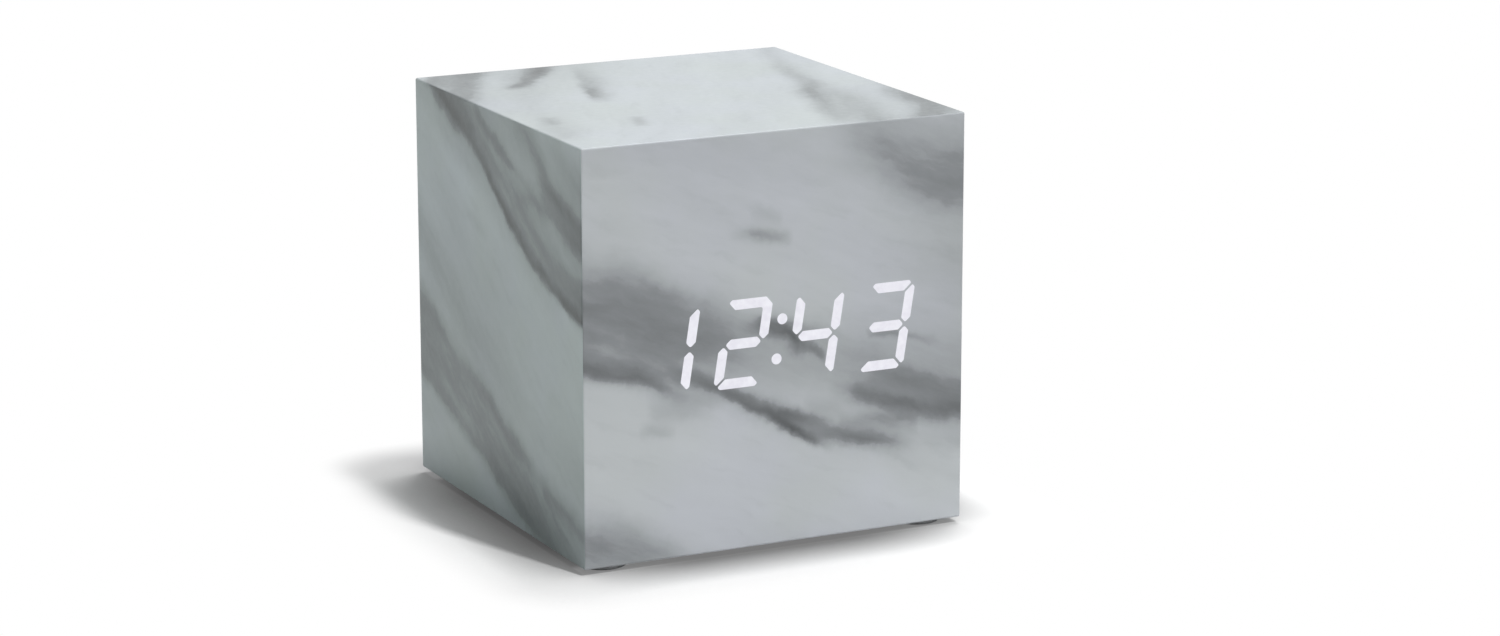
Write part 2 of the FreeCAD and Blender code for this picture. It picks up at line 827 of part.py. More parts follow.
def battery_box():
    """The moulded compartment: bay, cradle ribs, door recess, hook and latch slots, mounting lip."""
    body = piece("battery_box")
    nought = size(0)
    pad(body, under, lip_top, (rounded, nought, nought, 2 * lip_along, 2 * lip_across, D.lip_round))
    pad(body, lip_top, box_top, (block, nought, nought, 2 * box_along, 2 * box_across))
    cut(body, under, bay_top, (block, nought, nought, 2 * bay_along, 2 * bay_across))
    cut(body, under, recess_top, (block, nought, nought, 2 * recess_along, 2 * recess_across))
    pad(body, cell_level + D.cell_width / 4, bay_top,
        *[(block, k * D.rib_across, nought, D.rib, 2 * bay_across) for k in (1, -1)])
    cradle = (D.cell_width + 2 * D.play) / OCTAGON_FLATS
    cut(body, -bay_along, bay_along,
        *[(octagon, k * D.cell_pitch, cell_level, cradle) for k in (-1, 0, 1)], plane="YZ_Plane")
    cut(body, bay_top, box_top,
        (corners, -bay_along, -D.cell_pitch - D.tab_width / 2 - D.play,
         -bay_along + D.contact + D.play, -D.cell_pitch + D.tab_width / 2 + D.play),
        (corners, bay_along - D.contact - D.play, D.cell_pitch - D.tab_width / 2 - D.play,
         bay_along, D.cell_pitch + D.tab_width / 2 + D.play))
    cut(body, recess_top + D.hook_ledge, hook_top + D.play,
        *[(corners, k * D.hook_across - D.hook_width / 2 - D.play, -box_across,
           k * D.hook_across + D.hook_width / 2 + D.play, -bay_across) for k in (1, -1)])
    wide = D.latch_width / 2 + D.play
    cut(body, recess_top, door_top + D.latch_rise + D.play, (corners, -wide, bay_across, wide, recess_across))
    cut(body, under + D.notch_depth, lip_top,
        (corners, -wide, recess_across, wide, latch_face + D.nose + D.play))
    cut(body, under, under + D.notch_depth, (circle, nought, recess_across, D.notch_width))
    sink = under + D.play + D.head_height
    cut(body, under, sink, *[(circle, x, y, D.screw_head + 2 * D.play) for x, y in box_screw_places])
    cut(body, sink, lip_top, *[(octagon, x, y, D.screw_core + 2 * D.play) for x, y in box_screw_places])


def box_screws():
    seat = under + D.play + D.head_height
    screws(piece("box_screws"), seat, seat + D.screw_bite, box_screw_places)


def battery(label, y, side):
    """A plain cell; side is 1 where its positive end points to +X, and -1 where it points to -X."""
    body = piece(label)
    tip = bay_along - D.contact - D.bump_height
    shoulder = tip - D.nub_height
    end = tip - D.cell_length
    can = (circle, y, cell_level, D.cell_width)
    nub = (circle, y, cell_level, D.nub_width)
    if side > 0:
        pad(body, end, shoulder, can, plane="YZ_Plane")
        pad(body, shoulder, tip, nub, plane="YZ_Plane")
    else:
        pad(body, -shoulder, -end, can, plane="YZ_Plane")
        pad(body, -tip, -shoulder, nub, plane="YZ_Plane")


def contact_plate(label, side, ends, tab=None, bump=None):
    """A sprung steel contact against one end wall: side is 1 at +X and -1 at -X."""
    body = piece(label)
    low, high = ends
    y0 = low - D.contact_width / 2
    y1 = high + D.contact_width / 2
    z0 = cell_low + D.cell_play
    z1 = bay_top
    if tab is None:
        outline = [(y0, z0), (y1, z0), (y1, z1), (y0, z1)]
    else:
        t0 = tab - D.tab_width / 2
        t1 = tab + D.tab_width / 2
        tip = box_top + D.contact_rise
        outline = [(y0, z0), (y1, z0), (y1, z1), (t1, z1), (t1, tip), (t0, tip), (t0, z1), (y0, z1)]
    inner = bay_along - D.contact
    low, high = (inner, bay_along) if side > 0 else (-bay_along, -inner)
    pad(body, low, high, (polygon, *outline), plane="YZ_Plane")
    if bump is not None:
        rise = inner - D.bump_height
        low, high = (rise, inner) if side > 0 else (-inner, -rise)
        pad(body, low, high, (octagon, bump, cell_level, D.bump_width), plane="YZ_Plane")


def spring(y, side):
    """A conical spring, wide at its plate and narrow at the cell, bent from square wire in short runs."""
    wide = (D.spring_base - D.spring_wire).value / 2
    narrow = (D.spring_tip - D.spring_wire).value / 2
    reach = (D.spring_length - D.spring_wire).value
    start = (bay_along - D.contact - D.spring_wire / 2).value
    points = []
    for number in range(SPRING_TURNS * SPRING_RUNS + 1):
        turn = 2 * math.pi * number / SPRING_RUNS
        share = number / (SPRING_TURNS * SPRING_RUNS)
        radius = wide + (narrow - wide) * share
        points.append(FreeCAD.Vector(side * (start - reach * share), y.value + radius * math.cos(turn),
                                     cell_level.value + radius * math.sin(turn)))
    ring = Part.makeCircle(D.spring_wire.value / 2, points[0], points[1] - points[0])
    mitred = 1
    return Part.makePolygon(points).makePipeShell([Part.makePolygon(ring.discretize(5))], True, False, mitred)


def contact_springs():
    places = ((-D.cell_pitch, -1), (size(0), 1), (D.cell_pitch, -1))
    group = doc.addObject("Part::Feature", "contact_springs")
    group.Label = "contact_springs"
    group.Shape = Part.makeCompound([spring(y, side) for y, side in places])
    pieces.append(group)


def lead(label, width, places):
    """A six-sided wire: straight runs joined by arcs as large as the runs allow."""
    points = [FreeCAD.Vector(*[size(value).value for value in place]) for place in places]
    edges = []
    start = points[0]
    for before, turn, after in zip(points, points[1:], points[2:]):
        into = turn - before
        out = after - turn
        trim = 0.45 * min(into.Length, out.Length)
        into.normalize()
        out.normalize()
        first = turn - into * trim
        last = turn + out * trim
        bisector = (out - into).normalize()
        half_turn = into.getAngle(out) / 2
        radius = trim / math.tan(half_turn)
        middle = turn + bisector * (radius / math.cos(half_turn) - radius)
        print(f"{label}: bend radius {radius:.1f}")
        edges.append(Part.LineSegment(start, first).toShape())
        edges.append(Part.Arc(first, middle, last).toShape())
        start = last
    edges.append(Part.LineSegment(start, points[-1]).toShape())
    path = Part.Wire(edges)
    ring = Part.makeCircle(width.value / 2, points[0], points[1] - points[0])
    made = doc.addObject("Part::Feature", label)
    made.Label = label
    made.Shape = path.makePipeShell([Part.makePolygon(ring.discretize(7))], True, False)
    expected = 1.5 * math.sqrt(3) * (width.value / 2) ** 2 * path.Length
    print(f"{label}: volume {made.Shape.Volume:.2f}, expected {expected:.2f}, length {path.Length:.1f}")
    pieces.append(made)


def battery_leads():
    """Both leads go from a solder tab, over the compartment's roof, to the foot of the main board."""
    tab = bay_along - D.contact
    low = box_top + D.lead / 2 + D.play
    end_x = tab - D.lead_in
    end_z = centre + plate_up - D.main_board_fall + D.lead_up
    rise = end_z - low
    last = board_front - D.lead_last
    y = D.cell_pitch
    lead("battery_lead_red", D.lead, [
        (tab, y, low), (tab - D.lead_run, y, low), (end_x + D.lead_sway / 2, y + D.lead_step * 0.7, low + rise / 3),
        (end_x, last, end_z), (end_x, board_front, end_z)])
    y = D.lead_step - D.cell_pitch
    lead("battery_lead_black", D.lead, [
        (-tab, -D.cell_pitch, low), (D.lead_run - tab, -D.cell_pitch, low), (-end_x, y, low),
        (D.lead_sway - end_x, y + (last - y) * 0.4, low),
        (-end_x - D.lead_sway / 4, y + (last - y) * 0.8, low + rise / 10),
        (-end_x, last, end_z), (-end_x, board_front, end_z)])


def battery_door():
    """The cover of the cells, with two hooks at the front edge and a cut-out for the latch at the rear."""
    body = piece("battery_door")
    along = recess_along - D.play
    pad(body, under, door_top, (corners, -along, -latch_face, along, latch_face))
    wide = D.latch_width / 2 + D.play
    cut(body, under, door_top, (corners, -wide, latch_face - D.latch - D.slide - D.play, wide, latch_face))
    leg = hook_face - D.hook_reach
    outline = [(hook_face, door_top), (hook_face + D.hook, door_top), (hook_face + D.hook, hook_top),
               (leg, hook_top), (leg, hook_low), (hook_face, hook_low)]
    for k in (1, -1):
        pad(body, k * D.hook_across - D.hook_width / 2, k * D.hook_across + D.hook_width / 2,
            (polygon, *outline), plane="YZ_Plane")


def door_latch():
    """A springy loop on the door, with a nose that catches above the lip of the compartment."""
    body = piece("door_latch")
    outer = latch_face
    inner = outer - D.latch_loop
    top = door_top + D.latch_rise
    nose_low = under + D.nose_rise
    outline = [(inner, door_top), (inner, top), (outer, top), (outer, nose_low + D.nose_height),
               (outer + D.nose, nose_low + D.nose_height / 3), (outer + D.nose, nose_low),
               (outer, nose_low), (outer, under), (outer - D.latch, under), (outer - D.latch, top - D.latch),
               (inner + D.latch, top - D.latch), (inner + D.latch, door_top)]
    pad(body, -D.latch_width / 2, D.latch_width / 2, (polygon, *outline), plane="YZ_Plane")
    soften(body, D.latch - D.slide, along_x_at((inner, top), (outer, top)))


front_panel()
back_panel()
mitred_board("left_panel", "left")
mitred_board("right_panel", "right")
mitred_board("top_panel", "top")
base_panel()
marble_film()
lit_segments()
rubber_feet()
diffuser_sheet()
reflector_block()
segment_leds()
display_board()
display_screws()
rear_plate()
for name in button_places:
    button(name)
    switch_stem(name)
tact_switches()
dc_jack()
jack_pin()
main_board()
main_board_screws()
clock_chip()
crystal()
buzzer()
microphone()
capacitor()
thermistor()
ribbon_headers()
ribbon_cable()
battery_box()
box_screws()
battery("battery_front", -D.cell_pitch, 1)
battery("battery_middle", size(0), -1)
battery("battery_rear", D.cell_pitch, 1)
contact_plate("negative_contact", -1, (-D.cell_pitch, -D.cell_pitch), tab=-D.cell_pitch)
contact_plate("right_bridge", 1, (-D.cell_pitch, size(0)), bump=-D.cell_pitch)
contact_plate("left_bridge", -1, (size(0), D.cell_pitch), bump=size(0))
contact_plate("positive_contact", 1, (D.cell_pitch, D.cell_pitch), tab=D.cell_pitch, bump=D.cell_pitch)
contact_springs()
battery_leads()
battery_door()
door_latch()

doc.recompute()
for thing in doc.Objects:
    if "Invalid" in thing.State or "Error" in thing.State:
        raise ValueError(f"{thing.Label} failed: {thing.State}")
for thing in pieces:
    if thing.Shape.isNull() or not thing.Shape.isValid() or thing.Shape.Volume <= 0:
        raise ValueError(f"{thing.Label} has no good shape")

os.makedirs("parts", exist_ok=True)
for thing in pieces:
    thing.Shape.exportStep(f"parts/{thing.Label}.step")
    box = thing.Shape.BoundBox
    print(f"{thing.Label:20s} solids {len(thing.Shape.Solids):2d} volume {thing.Shape.Volume:10.2f} "
          f"x {box.XMin:7.2f} {box.XMax:7.2f} y {box.YMin:7.2f} {box.YMax:7.2f} z {box.ZMin:7.2f} {box.ZMax:7.2f}")
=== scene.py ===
import itertools
import math

import bmesh
import bpy
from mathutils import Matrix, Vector


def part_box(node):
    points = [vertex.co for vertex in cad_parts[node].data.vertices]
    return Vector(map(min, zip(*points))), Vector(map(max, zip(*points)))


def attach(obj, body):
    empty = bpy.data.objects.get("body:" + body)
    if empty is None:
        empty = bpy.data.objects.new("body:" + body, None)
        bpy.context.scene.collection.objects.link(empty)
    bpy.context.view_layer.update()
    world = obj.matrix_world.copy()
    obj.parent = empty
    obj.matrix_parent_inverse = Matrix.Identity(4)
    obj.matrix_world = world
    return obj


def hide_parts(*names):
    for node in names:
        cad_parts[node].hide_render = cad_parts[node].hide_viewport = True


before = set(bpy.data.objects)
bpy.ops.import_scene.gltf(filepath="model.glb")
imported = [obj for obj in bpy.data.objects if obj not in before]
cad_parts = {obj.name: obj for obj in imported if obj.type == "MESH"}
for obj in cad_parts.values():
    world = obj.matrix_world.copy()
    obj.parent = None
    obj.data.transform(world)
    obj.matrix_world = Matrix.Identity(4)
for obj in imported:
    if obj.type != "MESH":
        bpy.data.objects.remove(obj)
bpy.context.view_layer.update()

# A marble-covered cube clock. Lengths are in metres, as in the frame, but materials lay out their patterns in
# millimetres.

MM = 0.001
X = Vector((1, 0, 0))
Y = Vector((0, 1, 0))
Z = Vector((0, 0, 1))

FILM_LOW, FILM_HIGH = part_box("marble_film")
EDGE = FILM_HIGH.x - FILM_LOW.x
HALF = EDGE / 2
EDGE_MM = EDGE / MM
CENTRE = Vector((0, 0, (FILM_LOW.z + FILM_HIGH.z) / 2))
FILM = 0.25 * MM
EDGE_ROUND = 0.35 * MM
CUT_PLAY = 0.15 * MM


# Node trees

class Tree:
    """The nodes of a material or of the world. Most methods add a node and return its output socket."""

    def __init__(self, name, home=bpy.data.materials, shader="Principled BSDF"):
        self.owner = home.new(name)
        self.owner.use_nodes = True
        self.nodes = self.owner.node_tree.nodes
        self.links = self.owner.node_tree.links
        self.shader = self.nodes[shader]
        self.point = None

    def put(self, socket, value):
        """Feeds a socket from another one, or sets its own number."""
        if isinstance(value, bpy.types.NodeSocket):
            self.links.new(value, socket)
        else:
            socket.default_value = value

    def add(self, kind, *values, **settings):
        """A new node with its settings, and with values on its first inputs."""
        node = self.nodes.new(kind)
        for name, setting in settings.items():
            setattr(node, name, setting)
        for socket, value in zip(node.inputs, values):
            self.put(socket, value)
        return node

    def math(self, operation, *values, clamp=False):
        return self.add("ShaderNodeMath", *values, operation=operation, use_clamp=clamp).outputs[0]

    def times(self, first, second):
        return self.math("MULTIPLY", first, second)

    def rest(self, share):
        return self.math("SUBTRACT", 1.0, share)

    def vector(self, operation, *values):
        node = self.add("ShaderNodeVectorMath", *values, operation=operation)
        return node.outputs[1] if operation in ("DOT_PRODUCT", "LENGTH") else node.outputs[0]

    def dot(self, first, second):
        return self.vector("DOT_PRODUCT", first, second)

    def scale(self, vector, share):
        node = self.add("ShaderNodeVectorMath", vector, operation="SCALE")
        self.put(node.inputs["Scale"], share)
        return node.outputs[0]

    def place(self):
        """The point on the object, in millimetres of the frame."""
        if self.point is None:
            self.point = self.scale(self.add("ShaderNodeTexCoord").outputs["Object"], 1 / MM)
        return self.point

    def join(self, x, y, z=0.0):
        return self.add("ShaderNodeCombineXYZ", x, y, z).outputs[0]

    def noise(self, vector, scale, detail=3.0, roughness=0.5, output="Fac"):
        node = self.add("ShaderNodeTexNoise", vector)
        for key, value in (("Scale", scale), ("Detail", detail), ("Roughness", roughness)):
            self.put(node.inputs[key], value)
        return node.outputs[output]

    def wander(self, reach, *noise):
        """A shift that changes from place to place, by up to half its reach either way along each axis."""
        drift = self.vector("SUBTRACT", self.noise(self.place(), *noise, output="Color"), (0.5, 0.5, 0.5))
        return self.scale(drift, reach)

    def spread(self, value, low, high, to_low=0.0, to_high=1.0, kind="LINEAR"):
        """A value's stretch from low to high, taken to another stretch and held at its ends."""
        numbers = (value, low, high, to_low, to_high)
        return self.add("ShaderNodeMapRange", *numbers, interpolation_type=kind).outputs[0]

    def ease(self, *numbers):
        """The same, but with a soft start and a soft end."""
        return self.spread(*numbers, kind="SMOOTHSTEP")

    def vary(self, noise, to_low, to_high):
        """A noise, which mostly lies between 0.3 and 0.7, taken to another stretch."""
        return self.spread(noise, 0.3, 0.7, to_low, to_high)

    def curve(self, share, points, reach, beyond):
        """A smooth curve through points, over a share of the cube's edge."""
        node = self.add("ShaderNodeFloatCurve")
        line = node.mapping.curves[0]
        for number, (x, y) in enumerate(points):
            if number < 2:
                line.points[number].location = (x / EDGE_MM, y / reach)
            else:
                line.points.new(x / EDGE_MM, y / reach)
        for point in line.points:
            point.handle_type = "AUTO_CLAMPED"
        node.mapping.use_clip = False
        node.mapping.extend = beyond
        node.mapping.update()
        self.put(node.inputs["Value"], share)
        return self.times(node.outputs[0], reach)

    def mix(self, share, first, second, blend="MIX"):
        node = self.add("ShaderNodeMix", data_type="RGBA", blend_type=blend)
        for socket, value in zip((node.inputs[0], node.inputs[6], node.inputs[7]), (share, first, second)):
            self.put(socket, (*value, 1.0) if isinstance(value, tuple) else value)
        return node.outputs[2]

    def shaded(self, colour, share):
        """A colour made darker or lighter by one share in all its channels."""
        return self.mix(1.0, colour, self.join(share, share, share), "MULTIPLY")

    def ramp(self, value, stops):
        node = self.add("ShaderNodeValToRGB", value)
        line = node.color_ramp.elements
        while len(line) < len(stops):
            line.new(0.5)
        for element, (place, colour) in zip(line, stops):
            element.position = place
            element.color = (*colour, 1.0)
        return node.outputs[0]

    def tones(self, noise, first, second, stops=(0.3, 0.7)):
        """Colours that run from one to another with a noise, both given in 0 to 255 steps."""
        return self.ramp(noise, list(zip(stops, (srgb(*first), srgb(*second)))))

    def bump(self, height, depth_mm):
        node = self.add("ShaderNodeBump")
        self.put(node.inputs["Distance"], depth_mm * MM)
        self.put(node.inputs["Height"], height)
        self.put(self.shader.inputs["Normal"], node.outputs[0])

    def seen(self):
        """Tells the light that the eye gets, straight, mirrored or through something clear, from the rest."""
        path = self.add("ShaderNodeLightPath").outputs
        straight = self.math("ADD", path["Is Camera Ray"], path["Is Glossy Ray"], clamp=True)
        return self.math("ADD", straight, path["Is Transmission Ray"], clamp=True)

    def finish(self, colour, roughness, **others):
        """Feeds the shader, where an underscore stands for a space in an input's name."""
        self.put(self.shader.inputs["Base Color"], colour)
        self.put(self.shader.inputs["Roughness"], roughness)
        for name, value in others.items():
            self.put(self.shader.inputs[name.replace("_", " ")], value)
        return self.owner


def srgb(red, green, blue):
    """A colour given in 0 to 255 steps, as the shader wants it."""
    def straight(step):
        share = step / 255
        return share / 12.92 if share <= 0.04045 else ((share + 0.055) / 1.055) ** 2.4
    return tuple(straight(step) for step in (red, green, blue))


# The marble print

BASE_COOL = srgb(184, 188, 194)
BASE_GREEN = srgb(181, 186, 188)
VEIN_MID = srgb(133, 137, 140)
VEIN_DARK = srgb(79, 82, 84)
# Painted shade and colour casts of the light: the left face darker in red and a little greener, the top a
# little less red.
LEFT_PAINTED_LIGHT_CAST = (0.917, 1.02, 0.98)
TOP_PAINTED_LIGHT_CAST = (0.966, 1.0, 0.991)
PLAIN_TINT = (1, 1, 1)
# How far veins bend slowly and fray finely, and the scale of smoke along their flow next to that across it
BEND = 3.0
FRAY = 1.7
DRAWN_OUT = 0.26


def vein(line, dark, below, above):
    """A vein: points on its line, how dark it is along it, and how far it fades out to each side.

    Places are in millimetres along the face and up it, and darkness goes from 0 to 1.
    """
    return {"line": line, "dark": dark, "below": below, "above": above}


# The veins of the front, the left and the top follow the picture. Those of the other faces are made up.


FRONT_VEINS = [
    # A thin haze: rising to the top right, and over the right-hand side
    vein([(0, 70), (34, 70), (68, 60)], [(0, 0.12), (34, 0.16), (46, 0.14), (56, 0.1), (68, 0.1)], 28, 12),
    vein([(0, 18), (34, 15), (68, 20)], [(0, 0), (24, 0), (46, 0.06), (68, 0.16)], 7, 26),
    # The broad smoky band and its darker streaks
    vein([(0, 40.6), (8, 38.8), (16, 36.2), (24, 34.2), (32, 32.4), (44, 30.5), (56, 29), (68, 26)],
         [(0, 0.54), (6, 0.56), (12, 0.62), (18, 0.6), (24, 0.5), (31, 0.34), (38, 0.28), (48, 0.26),
          (58, 0.2), (68, 0.24)], 6.8, 5.4),
    vein([(0, 46.7), (6, 45.4), (11, 43.4), (16, 41), (22, 38.4), (30, 36.6)],
         [(0, 0.4), (6, 0.42), (12, 0.42), (18, 0.28), (25, 0.14), (32, 0)], 2, 4.2),
    vein([(0, 43.2), (5, 42.8), (9, 41.8), (13, 39.6), (18, 37.6)],
         [(0, 0.36), (6, 0.36), (11, 0.3), (19, 0)], 1.4, 1.6),
    # Its lower rim
    vein([(0, 32.8), (3, 32), (6, 31.3), (9, 30.6), (12, 29.4), (15, 27.8), (18, 26.6)],
         [(0, 0.76), (3, 0.76), (8, 0.74), (12, 0.6), (15, 0.36), (19, 0.05)], 1.3, 3),
    # The main vein, from the band down to its dark end, and the branch beyond it
    vein([(12, 31.6), (16, 30.4), (20, 28.4), (24, 26.3), (28, 24.2), (32, 22.3), (35, 20.6), (38, 18.7),
          (41, 16.6), (44, 15)],
         [(12, 0), (17, 0.3), (22, 0.5), (26, 0.6), (31, 0.68), (35, 0.84), (38, 0.96), (40, 0.84), (42, 0.4),
          (45, 0)], 1, 1.6),
    vein([(16, 30.2), (22, 27.8), (28, 25), (32, 23.4), (36, 22), (40, 20.6), (44, 19.2)],
         [(14, 0), (19, 0.26), (24, 0.3), (28, 0.38), (32, 0.54), (36, 0.76), (40, 0.6), (45, 0)], 1.7, 1.4),
    vein([(16, 26.4), (20, 25.6), (24, 24.8)], [(15, 0), (18, 0.14), (21, 0.14), (25, 0)], 1.6, 1.6),
    vein([(38, 19.4), (42, 17.9), (46, 16.6), (50, 15.4), (54, 14.4), (58, 13.8)],
         [(38, 0), (42, 0.36), (46, 0.6), (50, 0.66), (54, 0.54), (57, 0.24), (60, 0)], 1.4, 2),
    vein([(45, 19.4), (51, 18.6), (57, 18)], [(44, 0), (49, 0.34), (56, 0.36), (60, 0)], 1.6, 1.6),
    # The right-hand band
    vein([(42, 25.2), (48, 24), (51, 22.8), (55, 21), (60, 19.6), (68, 18.8)],
         [(43, 0), (48, 0.36), (51, 0.7), (56, 0.7), (62, 0.64), (68, 0.58)], 1.8, 1.8),
    vein([(48, 26.6), (54, 25.4), (59, 23.9), (64, 22.2), (68, 21.2)],
         [(47, 0), (50.5, 0.26), (54, 0.5), (59, 0.58), (63, 0.52), (68, 0.52)], 3, 2.4),
    vein([(48, 46), (58, 45), (68, 43)], [(44, 0), (56, 0.06), (68, 0.14)], 8, 8),
    vein([(46, 30.4), (50, 29.8), (54, 29)], [(45, 0), (50, 0.12), (56, 0)], 1.6, 1.6),
    vein([(58, 14.6), (63, 14.2), (68, 13.8)], [(57, 0), (63, 0.09), (68, 0.17)], 2.4, 2.4),
    vein([(40, 23.2), (43, 22.2), (46, 21)], [(39, 0), (42.5, 0.15), (47, 0)], 1.5, 1.5),
    # Short dark strokes by the colon and right of the digits
    vein([(27, 36.6), (31, 36.5), (34, 35.6), (37, 33.6), (39, 32.4)],
         [(26.5, 0), (30, 0.36), (33, 0.84), (36.5, 0.9), (38, 0.5), (39.5, 0)], 1.8, 1.5),
    vein([(37.5, 32.8), (40, 31.6), (42, 30.4)], [(37, 0), (39.5, 0.4), (41, 0.44), (43, 0)], 0.8, 1),
    vein([(34, 37), (37, 35.8), (40, 34.4), (43, 33)], [(33, 0), (37, 0.26), (41, 0.2), (45, 0)], 1, 1),
    vein([(50, 33), (54, 32.4), (58, 31.6), (62, 30.6), (66, 30.2)],
         [(50, 0), (53, 0.3), (59, 0.22), (64, 0)], 0.6, 0.7),
    # The cloud in the upper right corner, with a soft limit to its lower left
    vein([(40, 72), (48, 66.5), (54, 62.5), (58, 60.2), (62, 58.6), (68, 58)],
         [(42, 0), (46, 0.16), (50, 0.28), (54, 0.33), (58, 0.38), (62, 0.4), (68, 0.46)], 6.4, 9),
    vein([(52, 60), (58, 57.4), (63, 55.6), (68, 54)],
         [(50, 0), (56, 0.14), (62, 0.17), (68, 0.2)], 3.2, 4.6),
    # Faint smudges
    vein([(26, 51.9), (32, 51.2), (36, 50.5)], [(25, 0), (29, 0.2), (32, 0.36), (37, 0)], 1.2, 1),
    vein([(30, 54.6), (33, 54.2), (35, 53.4)], [(29.5, 0), (32, 0.13), (35.5, 0)], 1.2, 1.2),
    vein([(10, 22.2), (13, 21.6), (15.5, 21)], [(9.5, 0), (12.5, 0.2), (16, 0)], 1, 1.2),
    vein([(12, 25.2), (15, 24.6), (20, 24)], [(10.5, 0), (15, 0.18), (23, 0)], 2, 2.4),
    # The dark lower left corner
    vein([(0, 4.2), (6, 3.2), (12, 0.8), (18, -3)],
         [(0, 0.5), (6, 0.48), (10, 0.46), (14, 0.38), (20, 0.2)], 7, 4.2),
]

LEFT_VEINS = [
    # A haze at the back and between the bands
    vein([(0, 60), (20, 44), (40, 36), (68, 22)],
         [(0, 0.04), (16, 0.14), (34, 0.14), (50, 0.06), (68, 0)], 9, 8),
    vein([(0, 42), (14, 34), (30, 26), (50, 20), (68, 14)],
         [(0, 0.34), (14, 0.32), (30, 0.28), (41, 0.18), (50, 0.04), (58, 0)], 7, 7),
    vein([(0, 12.6), (8, 11.6), (16, 10)], [(0, 0.16), (8, 0.13), (16, 0)], 3.6, 4),
    # The main vein with the smoke over it
    vein([(5, 69), (10, 67.6), (14, 66), (18, 64), (24, 61.4), (28, 59), (32, 56.2), (36, 53.4), (40, 51),
          (44, 48.9), (48, 46.8), (52, 45), (58, 43), (62, 41.9), (68, 40.6)],
         [(5, 0.5), (13, 0.96), (18, 0.84), (25, 0.72), (32, 0.84), (39, 0.94), (44, 0.86), (50, 0.88),
          (56, 0.8), (62, 0.96), (68, 1)], 1.1, 2),
    vein([(8, 71), (18, 67.5), (28, 62.6), (38, 57.5), (48, 52.4), (58, 47.6), (68, 44.6)],
         [(8, 0.56), (16, 0.62), (26, 0.54), (38, 0.5), (50, 0.4), (60, 0.4), (68, 0.56)], 3.6, 4.4),
    vein([(14, 76), (28, 71), (42, 66), (56, 60), (68, 56)],
         [(14, 0.5), (26, 0.4), (36, 0.28), (56, 0.28), (68, 0.34)], 6, 6),
    vein([(12, 68), (16, 66.4), (20, 64.8), (25, 62.6)], [(10, 0), (14, 0.3), (18, 0.36), (27, 0)], 2, 3),
    vein([(9, 66.4), (13, 65), (17, 63.2), (20, 61.6)], [(7, 0), (12, 0.44), (16, 0.44), (20, 0)], 1.2, 1.4),
    vein([(0, 68), (10, 64), (18, 60.8), (26, 57.4), (34, 53.5), (42, 49.2), (50, 45), (58, 41)],
         [(0, 0.1), (8, 0.14), (14, 0.22), (24, 0.22), (32, 0.16), (46, 0.16), (56, 0.12), (62, 0)],
         3.6, 4.4),
    vein([(40, 53.6), (46, 51), (52, 48.6), (58, 46.4), (68, 43.4)],
         [(39, 0), (46, 0.2), (52, 0.2), (60, 0.32), (68, 0.44)], 1.6, 3),
    vein([(26, 67.2), (31, 64.8), (36, 62.4), (42, 60.2), (50, 57.4)],
         [(25, 0), (30, 0.4), (36, 0.44), (42, 0.26), (51, 0)], 1, 1.4),
    vein([(40, 70), (46, 67), (50, 64.2), (55, 60.5)], [(40, 0), (46, 0.32), (50, 0.34), (57, 0)], 2.6, 3),
    vein([(51, 59.4), (56, 58.4), (60, 57.2), (65, 55.8), (68, 55)],
         [(50, 0), (55, 0.5), (59, 0.68), (62, 0.6), (68, 0.6)], 2, 1.8),
    vein([(44, 57.2), (50, 56), (56, 55), (62, 53.6), (68, 52.4)],
         [(42, 0), (47, 0.26), (53, 0.4), (58, 0.46), (62, 0.6), (68, 0.76)], 2.2, 2.4),
    vein([(56, 67), (62, 64), (68, 62)], [(52, 0), (60, 0.22), (68, 0.32)], 3.4, 4),
    # The lower band and its darker rims
    vein([(0, 24.5), (10, 21.4), (20, 17.9), (30, 13.4), (40, 9.5), (50, 6.8), (60, 4.4), (68, 2.4)],
         [(0, 0.64), (10, 0.58), (20, 0.52), (32, 0.54), (42, 0.54), (52, 0.48), (60, 0.4), (68, 0.34)],
         5.4, 5.6),
    vein([(0, 30.4), (6, 28.6), (12, 25.4), (18, 22.4)], [(0, 0.5), (6, 0.46), (12, 0.26), (19, 0)], 3, 2.6),
    vein([(0, 18.4), (6, 16.6), (11, 14.6), (17, 12.6), (24, 10.2), (30, 8), (37, 5.2), (44, 2.4),
          (52, 0.4)],
         [(0, 0.58), (6, 0.5), (12, 0.46), (20, 0.4), (28, 0.5), (37, 0.46), (45, 0.5), (54, 0.3)], 1.8, 2.8),
    vein([(32, 8.6), (38, 6.8), (44, 5), (50, 3.6), (58, 2.4), (64, 1)],
         [(28, 0), (35, 0.14), (44, 0.14), (52, 0.12), (60, 0.1), (68, 0.04)], 2.4, 2.4),
    vein([(19, 22.6), (25, 20.6), (32, 17.8), (38, 15.2), (46, 12.4)],
         [(15, 0), (22, 0.3), (28, 0.42), (35, 0.46), (50, 0.1)], 1.8, 1.9),
    vein([(48, 19), (58, 16.4), (68, 13.6)], [(44, 0), (54, 0.13), (68, 0.17)], 5, 5),
    vein([(52, 9.4), (58, 8.2), (64, 6.8), (68, 6)], [(50, 0), (57, 0.2), (62, 0.24), (68, 0.2)], 2, 2.2),
    vein([(36, 3), (44, 3.6), (52, 2.8), (60, 1)], [(34, 0), (42, 0.2), (53, 0.14), (62, 0.12)], 2.4, 2),
    vein([(20, 48.5), (26, 47.8), (31, 46.4)], [(19, 0), (26, 0.1), (32, 0)], 1, 1.2),
]

